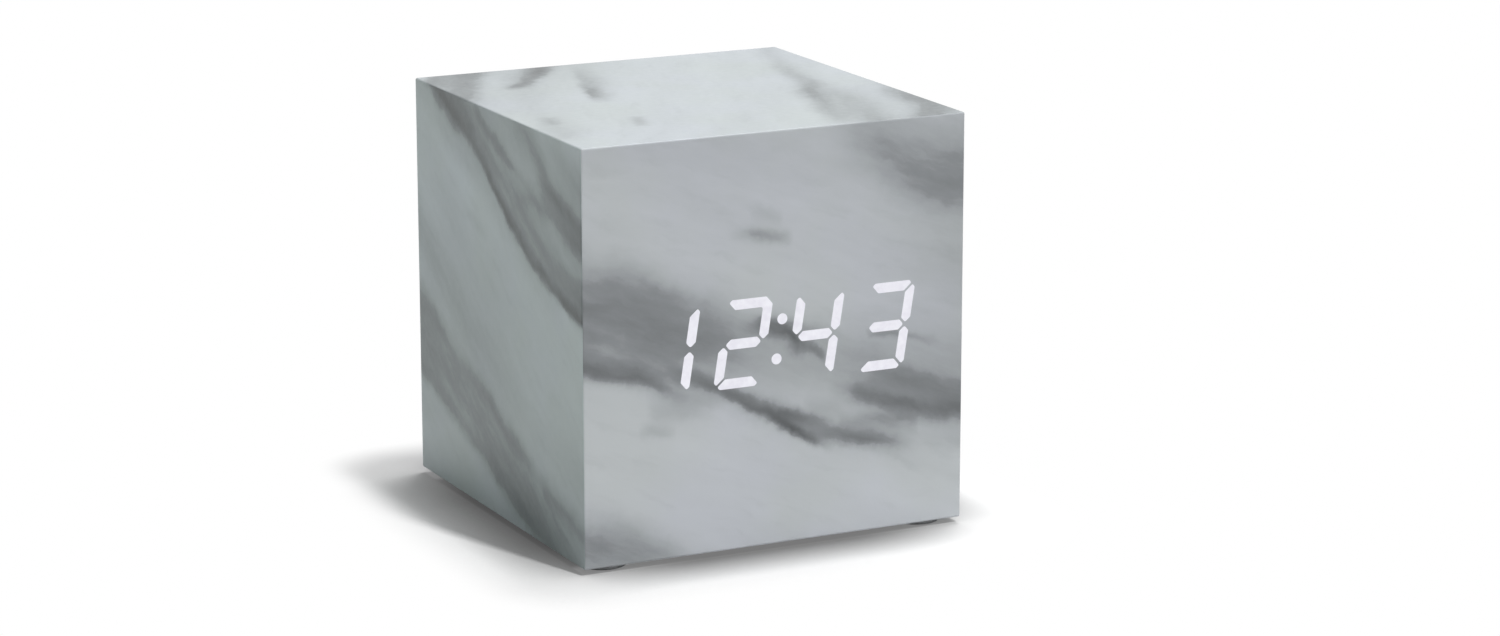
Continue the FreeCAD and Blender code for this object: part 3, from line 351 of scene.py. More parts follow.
TOP_VEINS = [
    # The strong strip near the left, and the dark corner behind it
    vein([(48, 9.8), (52, 12), (56, 15), (60, 18), (64, 20.8), (68, 23)],
         [(49, 0), (51.5, 0.34), (54, 0.66), (58, 0.68), (63, 0.7), (68, 0.76)], 1.9, 2.1),
    vein([(60, 17.4), (64, 20.2), (68, 22.8)], [(57, 0), (61, 0.3), (64, 0.42), (68, 0.46)], 3.7, 3.4),
    vein([(40, -2), (46, 0), (52, 2.4), (58, 5.4), (62, 7.4), (66, 9.8), (68, 10.8)],
         [(38, 0.2), (45, 0.5), (52, 0.64), (58, 0.62), (64, 0.66), (68, 0.7)], 6, 3.1),
    vein([(56, -2), (60, -0.5), (64, 1.2), (68, 4)], [(56, 0), (61, 0.46), (64, 0.52), (68, 0.42)], 2.2, 3),
    # The soft strip beside them
    vein([(34, 19), (39, 20), (43, 20.8), (48, 22.4), (54, 25), (62, 27.4)],
         [(33, 0), (37, 0.3), (41, 0.54), (46, 0.52), (52, 0.38), (58, 0.26), (66, 0.1)], 1.1, 2.8),
    # The long strip on the right, soft to its right
    vein([(3, 46.8), (8, 48.6), (14, 50), (20, 51.6), (26, 53), (32, 56), (38, 57.8), (44, 58.8), (50, 60),
          (56, 61.8), (62, 64), (68, 67)],
         [(0, 0.1), (6, 0.3), (12, 0.38), (20, 0.42), (26, 0.5), (32, 0.46), (38, 0.36), (44, 0.32),
          (50, 0.24), (56, 0.2), (68, 0.16)], 2.2, 2.4),
    vein([(0, 52), (8, 54), (16, 56), (24, 57.2), (32, 58)],
         [(0, 0.46), (8, 0.38), (16, 0.36), (24, 0.3), (31, 0.1), (36, 0)], 4, 4.4),
    # The dark front right corner
    vein([(0, 62), (6, 65), (14, 67.6), (22, 70), (30, 72)],
         [(0, 0.66), (8, 0.6), (16, 0.54), (24, 0.4), (32, 0.2)], 4, 6),
    # A haze along the back and down the left edge
    vein([(34, 2), (50, 14), (68, 24)], [(20, 0), (40, 0.05), (56, 0.1), (68, 0.12)], 10, 12),
    vein([(10, 67), (16, 65.5), (22, 66), (26, 68)], [(8, 0), (14, 0.16), (20, 0.24), (28, 0.1)], 2.5, 2.5),
    # Faint smudges
    vein([(20.5, 4.3), (23, 5), (25.5, 5.8)], [(19, 0), (22, 0.26), (26, 0)], 1.6, 1.6),
    vein([(10, 1), (16, 2.4), (22, 4)], [(6, 0), (14, 0.2), (24, 0.1)], 3, 3),
    vein([(13, 16.4), (17, 17.4), (20, 18.4)], [(12, 0), (17, 0.3), (21, 0)], 1.2, 1.4),
]

RIGHT_VEINS = [
    vein([(0, 56), (10, 52), (22, 49), (34, 44), (46, 41), (58, 36), (68, 33)],
         [(0, 0.42), (12, 0.34), (24, 0.42), (36, 0.34), (50, 0.3), (68, 0.2)], 4.5, 5.5),
    vein([(0, 53.4), (10, 48.6), (20, 46), (30, 41.6), (40, 38.4), (52, 33.8), (68, 29)],
         [(0, 0.3), (8, 0.46), (20, 0.56), (30, 0.62), (40, 0.4), (52, 0.28), (68, 0.2)], 0.9, 1.8),
    vein([(0, 18), (10, 15), (20, 13), (32, 8), (44, 5), (56, 0)],
         [(0, 0.46), (10, 0.42), (22, 0.5), (34, 0.44), (46, 0.3), (58, 0.1)], 1, 3.2),
    vein([(18, 69), (28, 65.4), (38, 63.6), (50, 59), (60, 57.4), (68, 54)],
         [(16, 0.2), (28, 0.3), (40, 0.24), (50, 0.36), (60, 0.3), (68, 0.34)], 1, 2),
    vein([(34, 27), (42, 25.2), (50, 22.4), (58, 21.4)], [(33, 0), (41, 0.26), (50, 0.22), (59, 0)], 0.7, 1),
]

BACK_VEINS = [
    vein([(0, 33), (12, 29.6), (24, 26), (38, 24.4), (52, 25.6), (68, 24.5)],
         [(0, 0.2), (14, 0.3), (28, 0.34), (42, 0.3), (56, 0.36), (68, 0.42)], 5.4, 5.8),
    vein([(0, 54), (10, 51.4), (20, 52.6), (30, 57), (40, 62), (48, 69)],
         [(0, 0.34), (10, 0.4), (20, 0.3), (30, 0.44), (40, 0.54), (48, 0.6)], 1.2, 2.2),
    vein([(40, 49), (48, 54), (56, 60.4), (63, 69)], [(38, 0), (46, 0.26), (55, 0.42), (63, 0.5)], 1.6, 3.8),
    vein([(6, 12), (18, 9), (30, 4.6), (42, 1.6)], [(4, 0), (16, 0.3), (30, 0.42), (44, 0.3)], 0.9, 2.4),
    vein([(14, 63.4), (22, 64.6), (30, 67)], [(13, 0), (22, 0.22), (31, 0.1)], 0.9, 0.9),
    vein([(0, 49), (12, 47.6), (24, 50), (36, 54), (50, 60)],
         [(0, 0.3), (12, 0.26), (26, 0.2), (38, 0.26), (52, 0.1)], 5, 4.4),
    vein([(0, 30.4), (10, 27.4), (22, 23.2), (32, 20.6), (44, 20.8)],
         [(0, 0.4), (10, 0.5), (20, 0.56), (30, 0.4), (45, 0)], 1, 2),
    vein([(40, 24), (50, 22.8), (60, 21.2), (68, 19)], [(38, 0), (48, 0.4), (58, 0.5), (68, 0.56)], 1.2, 2.4),
]

BASE_VEINS = [
    vein([(0, 20), (14, 16), (30, 12), (48, 8), (68, 2)],
         [(0, 0.3), (16, 0.34), (32, 0.42), (50, 0.42), (68, 0.5)], 3, 2.2),
    vein([(0, 52), (16, 57), (34, 60), (52, 63), (68, 66)],
         [(0, 0.36), (16, 0.3), (34, 0.36), (52, 0.3), (68, 0.3)], 1.2, 2.6),
]

# Which way along and up run on each face, from the corner where both are nought, and the flow of its smoke in
# degrees from along. Veins on the top and the base run mostly up the face, so these swap the two.
FACES = {
    "front": {"along": X, "up": Z, "flow": -22, "veins": FRONT_VEINS},
    "left": {"along": -Y, "up": Z, "flow": -34, "veins": LEFT_VEINS, "painted_light_cast": LEFT_PAINTED_LIGHT_CAST},
    "top": {"along": X, "up": Y, "flow": 66, "veins": TOP_VEINS, "painted_light_cast": TOP_PAINTED_LIGHT_CAST, "swap": True},
    "right": {"along": Y, "up": Z, "flow": -24, "veins": RIGHT_VEINS},
    "back": {"along": -X, "up": Z, "flow": -26, "veins": BACK_VEINS},
    "base": {"along": X, "up": -Y, "flow": 62, "veins": BASE_VEINS, "swap": True},
}


def vein_shade(tree, share, up, wanted):
    """How dark one vein makes a point: full on its line, and fading to either side."""
    centre = tree.curve(share, wanted["line"], EDGE_MM, "EXTRAPOLATED")
    strength = tree.math("MAXIMUM", tree.curve(share, wanted["dark"], 1.0, "HORIZONTAL"), 0.0)
    off = tree.math("SUBTRACT", up, centre)
    side = tree.math("GREATER_THAN", off, 0.0)
    width = tree.math("MULTIPLY_ADD", side, wanted["above"] - wanted["below"], wanted["below"])
    ratio = tree.math("DIVIDE", off, width)
    squared = tree.times(ratio, ratio)
    bell = tree.math("EXPONENT", tree.times(squared, -1.0))
    return tree.times(bell, strength)


def film_skin(tree):
    """The fine unevenness of the film."""
    tree.bump(tree.noise(tree.place(), 2.6, 3.0, 0.55), 0.012)


def marble(side):
    """The printed film on one face of the cube."""
    face = FACES[side]
    tree = Tree(f"marble_{side}")
    place = tree.place()
    corner = [-EDGE_MM / 2 * (a + u) for a, u in zip(face["along"], face["up"])]
    corner[2] += CENTRE.z / MM
    local = tree.vector("SUBTRACT", place, tuple(corner))
    shift = tree.vector("ADD", tree.wander(BEND, 0.07, 2.0), tree.wander(FRAY, 0.42, 5.0, 0.62))
    warped = tree.vector("ADD", local, shift)
    along = tree.dot(warped, face["along"])
    up = tree.dot(warped, face["up"])
    # Smoke drawn out along the flow of the veins
    turn = math.radians(face["flow"])
    flat = tree.join(along, up)
    down_flow = tree.dot(flat, (math.cos(turn), math.sin(turn), 0))
    over_flow = tree.dot(flat, (-math.sin(turn), math.cos(turn), 0))
    drawn = tree.join(tree.times(down_flow, DRAWN_OUT), over_flow)
    streak = tree.spread(tree.noise(drawn, 0.34, 5.0, 0.6), 0.28, 0.72, 0.78, 1.14)
    wisps = tree.ease(tree.noise(drawn, 0.4), 0.5, 0.8, 0.0, 0.07)
    if face.get("swap"):
        along, up = up, along
    share = tree.math("DIVIDE", along, EDGE_MM)
    light_left = tree.rest(wisps)
    for wanted in face["veins"]:
        shade = tree.times(vein_shade(tree, share, up, wanted), streak)
        light_left = tree.times(light_left, tree.rest(shade))
    dark = tree.rest(light_left)
    # The ground between the veins drifts between a cool and a greenish grey.
    ground = tree.mix(tree.ease(tree.noise(place, 0.045), 0.35, 0.65), BASE_COOL, BASE_GREEN)
    ground = tree.shaded(ground, tree.vary(tree.noise(drawn, 0.12), 0.955, 1.04))
    ground = tree.shaded(ground, tree.spread(tree.noise(place, 5.0, 2.0, 0.6), 0.2, 0.8, 0.985, 1.015))
    colour = tree.mix(tree.spread(dark, 0.0, 0.5), ground, VEIN_MID)
    colour = tree.mix(tree.spread(dark, 0.42, 0.95), colour, VEIN_DARK)
    # The painted shade and colour cast of the light on the left and the top faces
    colour = tree.mix(1.0, colour, face.get("painted_light_cast", PLAIN_TINT), "MULTIPLY")
    film_skin(tree)
    return tree.finish(colour, tree.vary(tree.noise(place, 0.9), 0.36, 0.44))


# Other finishes, with their colours in 0 to 255 steps

def plastic(name, colour, rough, grain_mm=0.22, depth_mm=0.012, mottle=0.12):
    """Moulded plastic: a spark-eroded grain, which the gloss follows, and slow changes of colour."""
    tree = Tree(name)
    shade = tree.vary(tree.noise(tree.place(), 0.11, 3.0, 0.55), 1 - mottle, 1 + mottle)
    grain = tree.noise(tree.place(), 1 / grain_mm, 3.0, 0.6)
    tree.bump(grain, depth_mm)
    return tree.finish(tree.shaded(srgb(*colour), shade), tree.vary(grain, rough - 0.06, rough + 0.08))


def metal(name, colour, rough, along=X):
    """Plated or drawn metal with fine draw marks along one axis."""
    tree = Tree(name)
    squeezed = tree.vector("MULTIPLY", tree.place(), tuple(0.12 if a else 1.0 for a in along))
    marks = tree.noise(squeezed, 9.0, 3.0, 0.65)
    tone = tree.shaded(srgb(*colour), tree.vary(tree.noise(tree.place(), 0.5), 0.9, 1.06))
    tree.bump(marks, 0.002)
    return tree.finish(tone, tree.vary(marks, rough - 0.07, rough + 0.1), Metallic=1.0)


def mottled(name, noise, colours, gloss, depth_mm, stops=(0.3, 0.7)):
    """A plain stuff whose colour, gloss and height change with one noise."""
    tree = Tree(name)
    mottle = tree.noise(tree.place(), *noise)
    tree.bump(mottle, depth_mm)
    return tree.finish(tree.tones(mottle, *colours, stops), tree.vary(mottle, *gloss))


def film_edge():
    """The cut edge and the back of the film: white vinyl with a little dust from the cut."""
    return mottled("film_edge", (1.8, 4.0, 0.6), ((196, 198, 198), (226, 228, 228)), (0.5, 0.62), 0.01,
                   stops=(0.35, 0.65))


def rubber():
    return mottled("foot_rubber", (3.0, 4.0, 0.65), ((140, 141, 142), (164, 165, 166)), (0.72, 0.88), 0.03)


def chips():
    """Small white-light chips under their yellow coat."""
    return mottled("segment_chips", (2.2,), ((226, 214, 150), (238, 224, 118)), (0.3, 0.42), 0.02,
                   stops=(0.35, 0.6))


def fibreboard():
    """Pressed wood fibre: short pale and dark fibres."""
    tree = Tree("fibreboard")
    fibres = tree.noise(tree.vector("MULTIPLY", tree.place(), (1.0, 1.0, 0.35)), 2.4, 6.0, 0.75)
    stops = [(0.3, srgb(134, 103, 70)), (0.5, srgb(171, 138, 98)), (0.72, srgb(203, 174, 134))]
    tree.bump(fibres, 0.05)
    return tree.finish(tree.ramp(fibres, stops), tree.vary(fibres, 0.78, 0.92))


def lit_face():
    """Film with a lit stroke behind it: nearly even, with the film's faint mottle."""
    tree = Tree("lit_face")
    mottle = tree.noise(tree.place(), 0.9)
    film_skin(tree)
    tone = tree.ramp(mottle, [(0.3, (0.02, 0.02, 0.024)), (0.7, (0.03, 0.03, 0.034))])
    glow = tree.tones(mottle, (225, 224, 233), (234, 234, 241))
    return tree.finish(tone, tree.vary(mottle, 0.4, 0.5), Emission_Color=glow, Emission_Strength=0.97)


def circuit_board():
    """Green solder mask over fine tracks."""
    tree = Tree("circuit_board")
    tracks = tree.add("ShaderNodeTexVoronoi", tree.place(), feature="DISTANCE_TO_EDGE", distance="CHEBYCHEV")
    tree.put(tracks.inputs["Scale"], 0.42)
    line = tree.ease(tracks.outputs["Distance"], 0.05, 0.09, 1.0, 0.0)
    cloud = tree.noise(tree.place(), 0.6)
    tree.bump(line, 0.03)
    tone = tree.mix(line, tree.tones(cloud, (8, 66, 38), (14, 84, 50)), srgb(34, 122, 70))
    return tree.finish(tone, tree.vary(cloud, 0.28, 0.4))


WIRE_PITCH = 1.27


def ribbon():
    """Grey flat cable: a ridge over every wire, and painted shade in the grooves between them."""
    tree = Tree("ribbon_grey")
    across = tree.dot(tree.place(), X)
    wave = tree.math("SINE", tree.times(across, 2 * math.pi / WIRE_PITCH))
    cloud = tree.noise(tree.place(), 0.7)
    tone = tree.tones(cloud, (150, 151, 154), (172, 173, 176))
    # Painted shade: darker grey in the grooves between the wires
    tone = tree.mix(tree.ease(wave, -1.0, -0.7, 1.0, 0.0), tone, srgb(112, 113, 116))
    tree.bump(wave, 0.2)
    return tree.finish(tone, tree.vary(cloud, 0.42, 0.54))


# A cell's bare metal at its nub and at its flat end, the reach of its pale band, and how sharp its limits are
CELL_NUB = 1.2
CELL_END = 0.5
CELL_BAND = (9.2, 9.0)
CELL_RIM = 0.05


def cell_jacket(name, turned=False):
    """The sleeve of a cell: dark, with a pale band at the positive end, and bare metal at both ends."""
    tree = Tree(name)
    low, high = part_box(name)
    along = tree.dot(tree.place(), -X if turned else X)
    shoulder = (-low.x if turned else high.x) / MM - CELL_NUB
    end = (-high.x if turned else low.x) / MM + CELL_END
    scuff = tree.noise(tree.vector("MULTIPLY", tree.place(), (0.3, 1.0, 1.0)), 1.1, 4.0, 0.6)
    sleeve = tree.tones(scuff, (38, 42, 46), (56, 61, 66))
    band = tree.ease(along, *(shoulder - distance for distance in CELL_BAND))
    sleeve = tree.mix(band, sleeve, srgb(176, 181, 186))
    bare_top = tree.ease(along, shoulder - CELL_RIM, shoulder + CELL_RIM)
    bare_end = tree.ease(along, end - CELL_RIM, end + CELL_RIM, 1.0, 0.0)
    bare = tree.math("ADD", bare_top, bare_end, clamp=True)
    tree.bump(scuff, 0.01)
    tone = tree.mix(bare, sleeve, srgb(196, 196, 192))
    return tree.finish(tone, tree.vary(scuff, 0.26, 0.4), Metallic=bare)


# Meshes

def scene_object(name, data):
    """A new object in the scene."""
    made = bpy.data.objects.new(name, data)
    bpy.context.scene.collection.objects.link(made)
    return made


def mesh_object(name, make):
    """An object with a mesh that make builds in a bmesh."""
    made = bmesh.new()
    make(made)
    mesh = bpy.data.meshes.new(name)
    made.to_mesh(mesh)
    made.free()
    return scene_object(name, mesh)


def new_piece(name, make, body, materials, node):
    """A mesh object that rides on a body and takes the place of a CAD node."""
    piece = mesh_object(name, make)
    for material in materials:
        piece.data.materials.append(material)
    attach(piece, body)
    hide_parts(node)
    return piece


def smooth(piece, sharp_over=35):
    """Smooth shading that stays crisp where two faces meet at more than the given angle."""
    made = bmesh.new()
    made.from_mesh(piece.data)
    for face in made.faces:
        face.smooth = True
    for edge in made.edges:
        edge.smooth = len(edge.link_faces) == 2 and edge.calc_face_angle(0.0) < math.radians(sharp_over)
    made.to_mesh(piece.data)
    made.free()


def apply(piece):
    """Replaces a piece's mesh with what its modifiers make of it."""
    graph = bpy.context.evaluated_depsgraph_get()
    mesh = bpy.data.meshes.new_from_object(piece.evaluated_get(graph))
    piece.modifiers.clear()
    piece.data = mesh


def box_mesh(low, high):
    def make(made):
        bmesh.ops.create_cube(made, size=1)
        bmesh.ops.scale(made, vec=high - low, verts=made.verts)
        bmesh.ops.translate(made, vec=(high + low) / 2, verts=made.verts)
    return make


def bevel(made, edges, radius, steps):
    bmesh.ops.bevel(made, geom=edges, offset=radius, segments=steps, profile=0.5, affect="EDGES")


def rounded_slab(low, high, radius, axis, steps=10):
    """A box whose four edges along one axis are rounded."""
    def make(made):
        box_mesh(low, high)(made)
        sides = [e for e in made.edges if abs((e.verts[0].co - e.verts[1].co).normalized().dot(axis)) > 0.99]
        bevel(made, sides, radius, steps)
    return make


def carve(piece, cutter_makers):
    """Cuts each made shape, in turn, from a piece."""
    cutters = [mesh_object("cutter", make) for make in cutter_makers]
    for cutter in cutters:
        step = piece.modifiers.new("cut", "BOOLEAN")
        step.operation = "DIFFERENCE"
        step.solver = "EXACT"
        step.object = cutter
    apply(piece)
    for cutter in cutters:
        bpy.data.objects.remove(cutter)


def several(makers):
    def make(made):
        for each in makers:
            each(made)
    return make


# The film round the cube

PLATE_ROUND = 3 * MM
LIP_ROUND = 2 * MM


def film_wrap():
    """The printed film: rounded at the twelve edges, open at the control plate and the compartment's lip."""
    def shell(made):
        box_mesh(FILM_LOW, FILM_HIGH)(made)
        bevel(made, list(made.edges), EDGE_ROUND, steps=4)

    materials = [marble(side) for side in FACES] + [film_edge()]
    piece = new_piece("marble_wrap", shell, "case", materials, "marble_film")
    inner = Vector((FILM, FILM, FILM))
    low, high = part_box("rear_plate")
    plate_low = Vector((low.x, HALF - 2 * FILM, low.z)) - CUT_PLAY * (X + Z)
    plate_high = Vector((high.x, HALF + FILM, high.z)) + CUT_PLAY * (X + Z)
    low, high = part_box("battery_box")
    lip_low = Vector((low.x, low.y, FILM_LOW.z - FILM)) - CUT_PLAY * (X + Y)
    lip_high = Vector((high.x, high.y, FILM_LOW.z + 2 * FILM)) + CUT_PLAY * (X + Y)
    carve(piece, [
        box_mesh(FILM_LOW + inner, FILM_HIGH - inner),
        rounded_slab(plate_low, plate_high, PLATE_ROUND + CUT_PLAY, Y),
        rounded_slab(lip_low, lip_high, LIP_ROUND + CUT_PLAY, Z),
    ])
    # Outer faces get the marble of their side, and the film's cut edge and back are plain.
    outwards = [face["along"].cross(face["up"]) for face in FACES.values()]
    reach = HALF - FILM / 2
    for face in piece.data.polygons:
        middle = face.center - CENTRE
        facing = [face.normal.dot(outward) for outward in outwards]
        best = facing.index(max(facing))
        outside = max(abs(value) for value in middle) > reach and max(facing) > 0.3
        outer = face.normal.dot(middle.normalized()) > 0.2
        flush = middle.dot(outwards[best]) > reach - EDGE_ROUND
        face.material_index = best if outside and outer and flush else len(outwards)
    smooth(piece)
    level = piece.modifiers.new("even", "WEIGHTED_NORMAL")
    level.keep_sharp = True
    level.mode = "FACE_AREA"
    apply(piece)


# The lit digits. They follow the display's own sizes.

DISPLAY_SHIFT = 0.45 * MM
DIGIT_PITCH = 12.87 * MM
DIGIT_WIDTH = 6.9 * MM
DIGIT_HEIGHT = 12.8 * MM
STROKE = 1.65 * MM
STROKE_GAP = 0.4 * MM
STROKE_TIP = 0.45 * MM
LEAN = math.tan(math.radians(9))
DOT_WIDTH = 1.8 * MM
DOT_SPACING = 6.5 * MM
DOT_STEPS = 32
TIP_ROUND = 0.4 * MM
LIT_PROUD = 0.02 * MM
LIT_SUNK = 0.08 * MM
# Each shown stroke by its usual letter, where k is a and b run together, as at the 2's shoulder
SHOWN = ("bc", "kged", "fgbc", "abgcd")


def stroke_outline(letter):
    """The corners of one stroke about the digit's middle, before it leans."""
    across, up, thick = DIGIT_WIDTH / 2, DIGIT_HEIGHT / 2, STROKE / 2
    gap, tip = STROKE_GAP / math.sqrt(2), STROKE_TIP
    flat = across - thick - gap
    reach = across + thick - gap
    if letter in "ad":
        outline = [(-flat, up - thick), (flat, up - thick),
                   (reach - tip, up + thick - tip), (reach - 2 * tip, up + thick),
                   (2 * tip - reach, up + thick), (tip - reach, up + thick - tip)]
    elif letter == "k":
        outline = [(-flat, up - thick), (across - thick, up - thick), (across - thick, thick + gap),
                   (across, gap), (across + thick, thick + gap), (across + thick, up - tip),
                   (across - tip, up + thick), (2 * tip - reach, up + thick), (tip - reach, up + thick - tip)]
    elif letter == "g":
        outline = [(-flat, -thick), (flat, -thick), (across - gap, 0),
                   (flat, thick), (-flat, thick), (gap - across, 0)]
    else:
        outline = [(across - thick, thick + gap), (across - thick, up - thick - gap),
                   (across + thick - tip, up + thick - gap - tip),
                   (across + thick, up + thick - gap - 2 * tip),
                   (across + thick, thick + gap), (across, gap)]
    flip_x = -1 if letter in "ef" else 1
    flip_y = -1 if letter in "dce" else 1
    return [(flip_x * x, flip_y * y) for x, y in outline]


def soften_corners(points, radius, steps=4):
    """The same outline with a curve of about the given radius at each corner."""
    outline = []
    for k, corner in enumerate(points):
        here = Vector(corner)
        before, after = Vector(points[k - 1]) - here, Vector(points[(k + 1) % len(points)]) - here
        half_turn = before.angle(after) / 2
        reach = min(radius / math.tan(half_turn), 0.45 * before.length, 0.45 * after.length)
        start, end = here + before.normalized() * reach, here + after.normalized() * reach
        for i in range(steps + 1):
            t = i / steps
            outline.append(start * (1 - t) ** 2 + here * 2 * t * (1 - t) + end * t ** 2)
    return outline


def front_plate(made, points):
    """A thin plate that stands just proud of the front face, from its outline there."""
    rings = [[made.verts.new((x, -HALF + depth, CENTRE.z + y)) for x, y in points]
             for depth in (LIT_SUNK, -LIT_PROUD)]
    made.faces.new(rings[0])
    made.faces.new(rings[1])
    for k in range(len(points)):
        made.faces.new([rings[0][k - 1], rings[0][k], rings[1][k], rings[1][k - 1]])


def full_turn(steps):
    """Angles evenly spaced round a circle."""
    return [2 * math.pi * i / steps for i in range(steps)]


def lit_strokes(made):
    """Every lit stroke, and the two dots."""
    for place, letters in enumerate(SHOWN):
        middle = DISPLAY_SHIFT + (place - 1.5) * DIGIT_PITCH
        for letter in letters:
            points = [(middle + x + LEAN * y, y) for x, y in stroke_outline(letter)]
            front_plate(made, soften_corners(points, TIP_ROUND))
    for rise in (DOT_SPACING / 2, -DOT_SPACING / 2):
        front_plate(made, [(DISPLAY_SHIFT + LEAN * rise + DOT_WIDTH / 2 * math.cos(t),
                            rise + DOT_WIDTH / 2 * math.sin(t)) for t in full_turn(DOT_STEPS)])
    bmesh.ops.recalc_face_normals(made, faces=made.faces)


# Turned pieces: feet, button caps and screws

def ways(axis):
    """An axis and two ways across it, square to each other and all of length one."""
    axis = axis.normalized()
    side = axis.orthogonal().normalized()
    return axis, side, axis.cross(side)


def lathe(profile, start, axis, steps=48):
    """Turns a profile of (radius, height) round an axis through a point, both ends on the axis."""
    axis, side, other = ways(axis)

    def make(made):
        rings = []
        for radius, height in profile:
            foot = Vector(start) + axis * height
            if radius == 0:
                rings.append([made.verts.new(foot)])
                continue
            rings.append([made.verts.new(foot + (side * math.cos(t) + other * math.sin(t)) * radius)
                          for t in full_turn(steps)])
        for low, high in zip(rings, rings[1:]):
            for i in range(steps):
                k = (i + 1) % steps
                corners = [low[i % len(low)], low[k % len(low)], high[k % len(high)], high[i % len(high)]]
                made.faces.new(list(dict.fromkeys(corners)))
        bmesh.ops.recalc_face_normals(made, faces=made.faces)
    return make


def arc(middle, radius, start, end, steps=6):
    """Points of a round stretch of a profile, from one angle to another in degrees."""
    turns = [math.radians(start + (end - start) * i / steps) for i in range(steps + 1)]
    return [(middle[0] + radius * math.cos(t), middle[1] + radius * math.sin(t)) for t in turns]


FOOT_RADIUS = 4 * MM
FOOT_ROUND = 0.3 * MM
FOOT_TAPER = 0.05 * MM


def feet(made):
    """Four round feet with a soft lower rim."""
    low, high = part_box("rubber_feet")
    profile = [(0, high.z), (FOOT_RADIUS - FOOT_TAPER, high.z)]
    profile += arc((FOOT_RADIUS - FOOT_ROUND, FOOT_ROUND), FOOT_ROUND, 0, -90)
    profile += [(0, 0)]
    for x in (low.x + FOOT_RADIUS, high.x - FOOT_RADIUS):
        for y in (low.y + FOOT_RADIUS, high.y - FOOT_RADIUS):
            lathe(profile, (x, y, 0), Z)(made)


CAP_RADIUS = 2.5 * MM
CAP_ROUND = 0.45 * MM
FLANGE_HIGH = 0.8 * MM
DISH = 0.22 * MM
DISH_STEPS = 8


def cap(node):
    """A push button: a flange, a round cap with a soft rim and a shallow dish for the fingertip."""
    low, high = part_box(node)
    middle = (low + high) / 2
    flange = (high.x - low.x) / 2
    top = high.y - low.y
    rim = CAP_RADIUS - CAP_ROUND
    profile = [(0, 0), (flange, 0), (flange, FLANGE_HIGH), (CAP_RADIUS, FLANGE_HIGH)]
    profile += arc((rim, top - CAP_ROUND), CAP_ROUND, 0, 90)
    for i in range(1, DISH_STEPS + 1):
        sunk = DISH * math.sin(math.pi / 2 * i / DISH_STEPS) ** 2
        profile.append((rim * (1 - i / DISH_STEPS), top - sunk))
    return lathe(profile, (middle.x, low.y, middle.z), Y)


HEAD_RADIUS = 1.6 * MM
HEAD_HIGH = 1 * MM
SHANK_RADIUS = 0.75 * MM
THREAD_PITCH = 0.55 * MM
THREAD_ROOT = 0.86
# The CAD heads are eight-sided, so their box is narrower than the head.
SCREW_INSET = HEAD_RADIUS * math.cos(math.radians(22.5))


def screw(place, axis, length):
    """A pan-head screw: place is the seat under the head, and axis points from the head to the tip."""
    crown = 0.35 * HEAD_HIGH
    profile = [(0, -HEAD_HIGH), (HEAD_RADIUS * 0.3, -HEAD_HIGH + 0.02 * crown),
               (HEAD_RADIUS * 0.6, -HEAD_HIGH + 0.2 * crown)]
    profile += arc((HEAD_RADIUS - crown, -HEAD_HIGH + 1.5 * crown), crown, -90, 0)
    profile += [(HEAD_RADIUS, 0), (SHANK_RADIUS, 0)]
    turns = int(length / THREAD_PITCH)
    for i in range(turns):
        for share, width in ((0.12, THREAD_ROOT), (0.5, 1.0), (0.88, THREAD_ROOT)):
            profile.append((SHANK_RADIUS * width, i * length / turns + share * length / turns))
    profile += [(0, length)]
    return lathe(profile, place, axis, steps=32)


def cross_recess(place, axis):
    """The four-lobed hole in a screw's head, as a shape to cut away."""
    axis, side, other = ways(axis)
    top = Vector(place) - axis * HEAD_HIGH * 1.3
    deep = HEAD_HIGH * 0.95
    long, wide = HEAD_RADIUS * 0.58, HEAD_RADIUS * 0.15

    def make(made):
        outline = []
        a, b = side, other
        for lobe in range(4):
            outline += [a * long - b * wide, a * long + b * wide, a * wide + b * wide]
            a, b = b, -a
        upper = [made.verts.new(top + p) for p in outline]
        lower = [made.verts.new(top + axis * deep + p * 0.62) for p in outline]
        made.faces.new(upper)
        made.faces.new(lower[::-1])
        for i in range(len(outline)):
            k = (i + 1) % len(outline)
            made.faces.new([upper[i], lower[i], lower[k], upper[k]])
        bmesh.ops.recalc_face_normals(made, faces=made.faces)
    return make


def screw_set(name, node, axis, material, corners=range(4)):
    """All the screws of one node, at corners of its box, as one piece with a cross in each head."""
    low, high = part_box(node)
    spans = [(a + SCREW_INSET, b - SCREW_INSET) for a, b in zip(low, high)]
    # Along the screws, the seats under the heads lie a head's height inside the box.
    k = [abs(part) for part in axis].index(1)
    spans[k] = [low[k] + HEAD_HIGH if axis[k] > 0 else high[k] - HEAD_HIGH]
    seats = list(itertools.product(*spans))
    places = [seats[corner] for corner in corners]
    length = abs((high - low).dot(axis)) - HEAD_HIGH
    screws = several([screw(p, axis, length) for p in places])
    piece = new_piece(name, screws, "case", [material], node)
    carve(piece, [several([cross_recess(p, axis) for p in places])])
    smooth(piece, sharp_over=40)


# What each CAD piece is made of

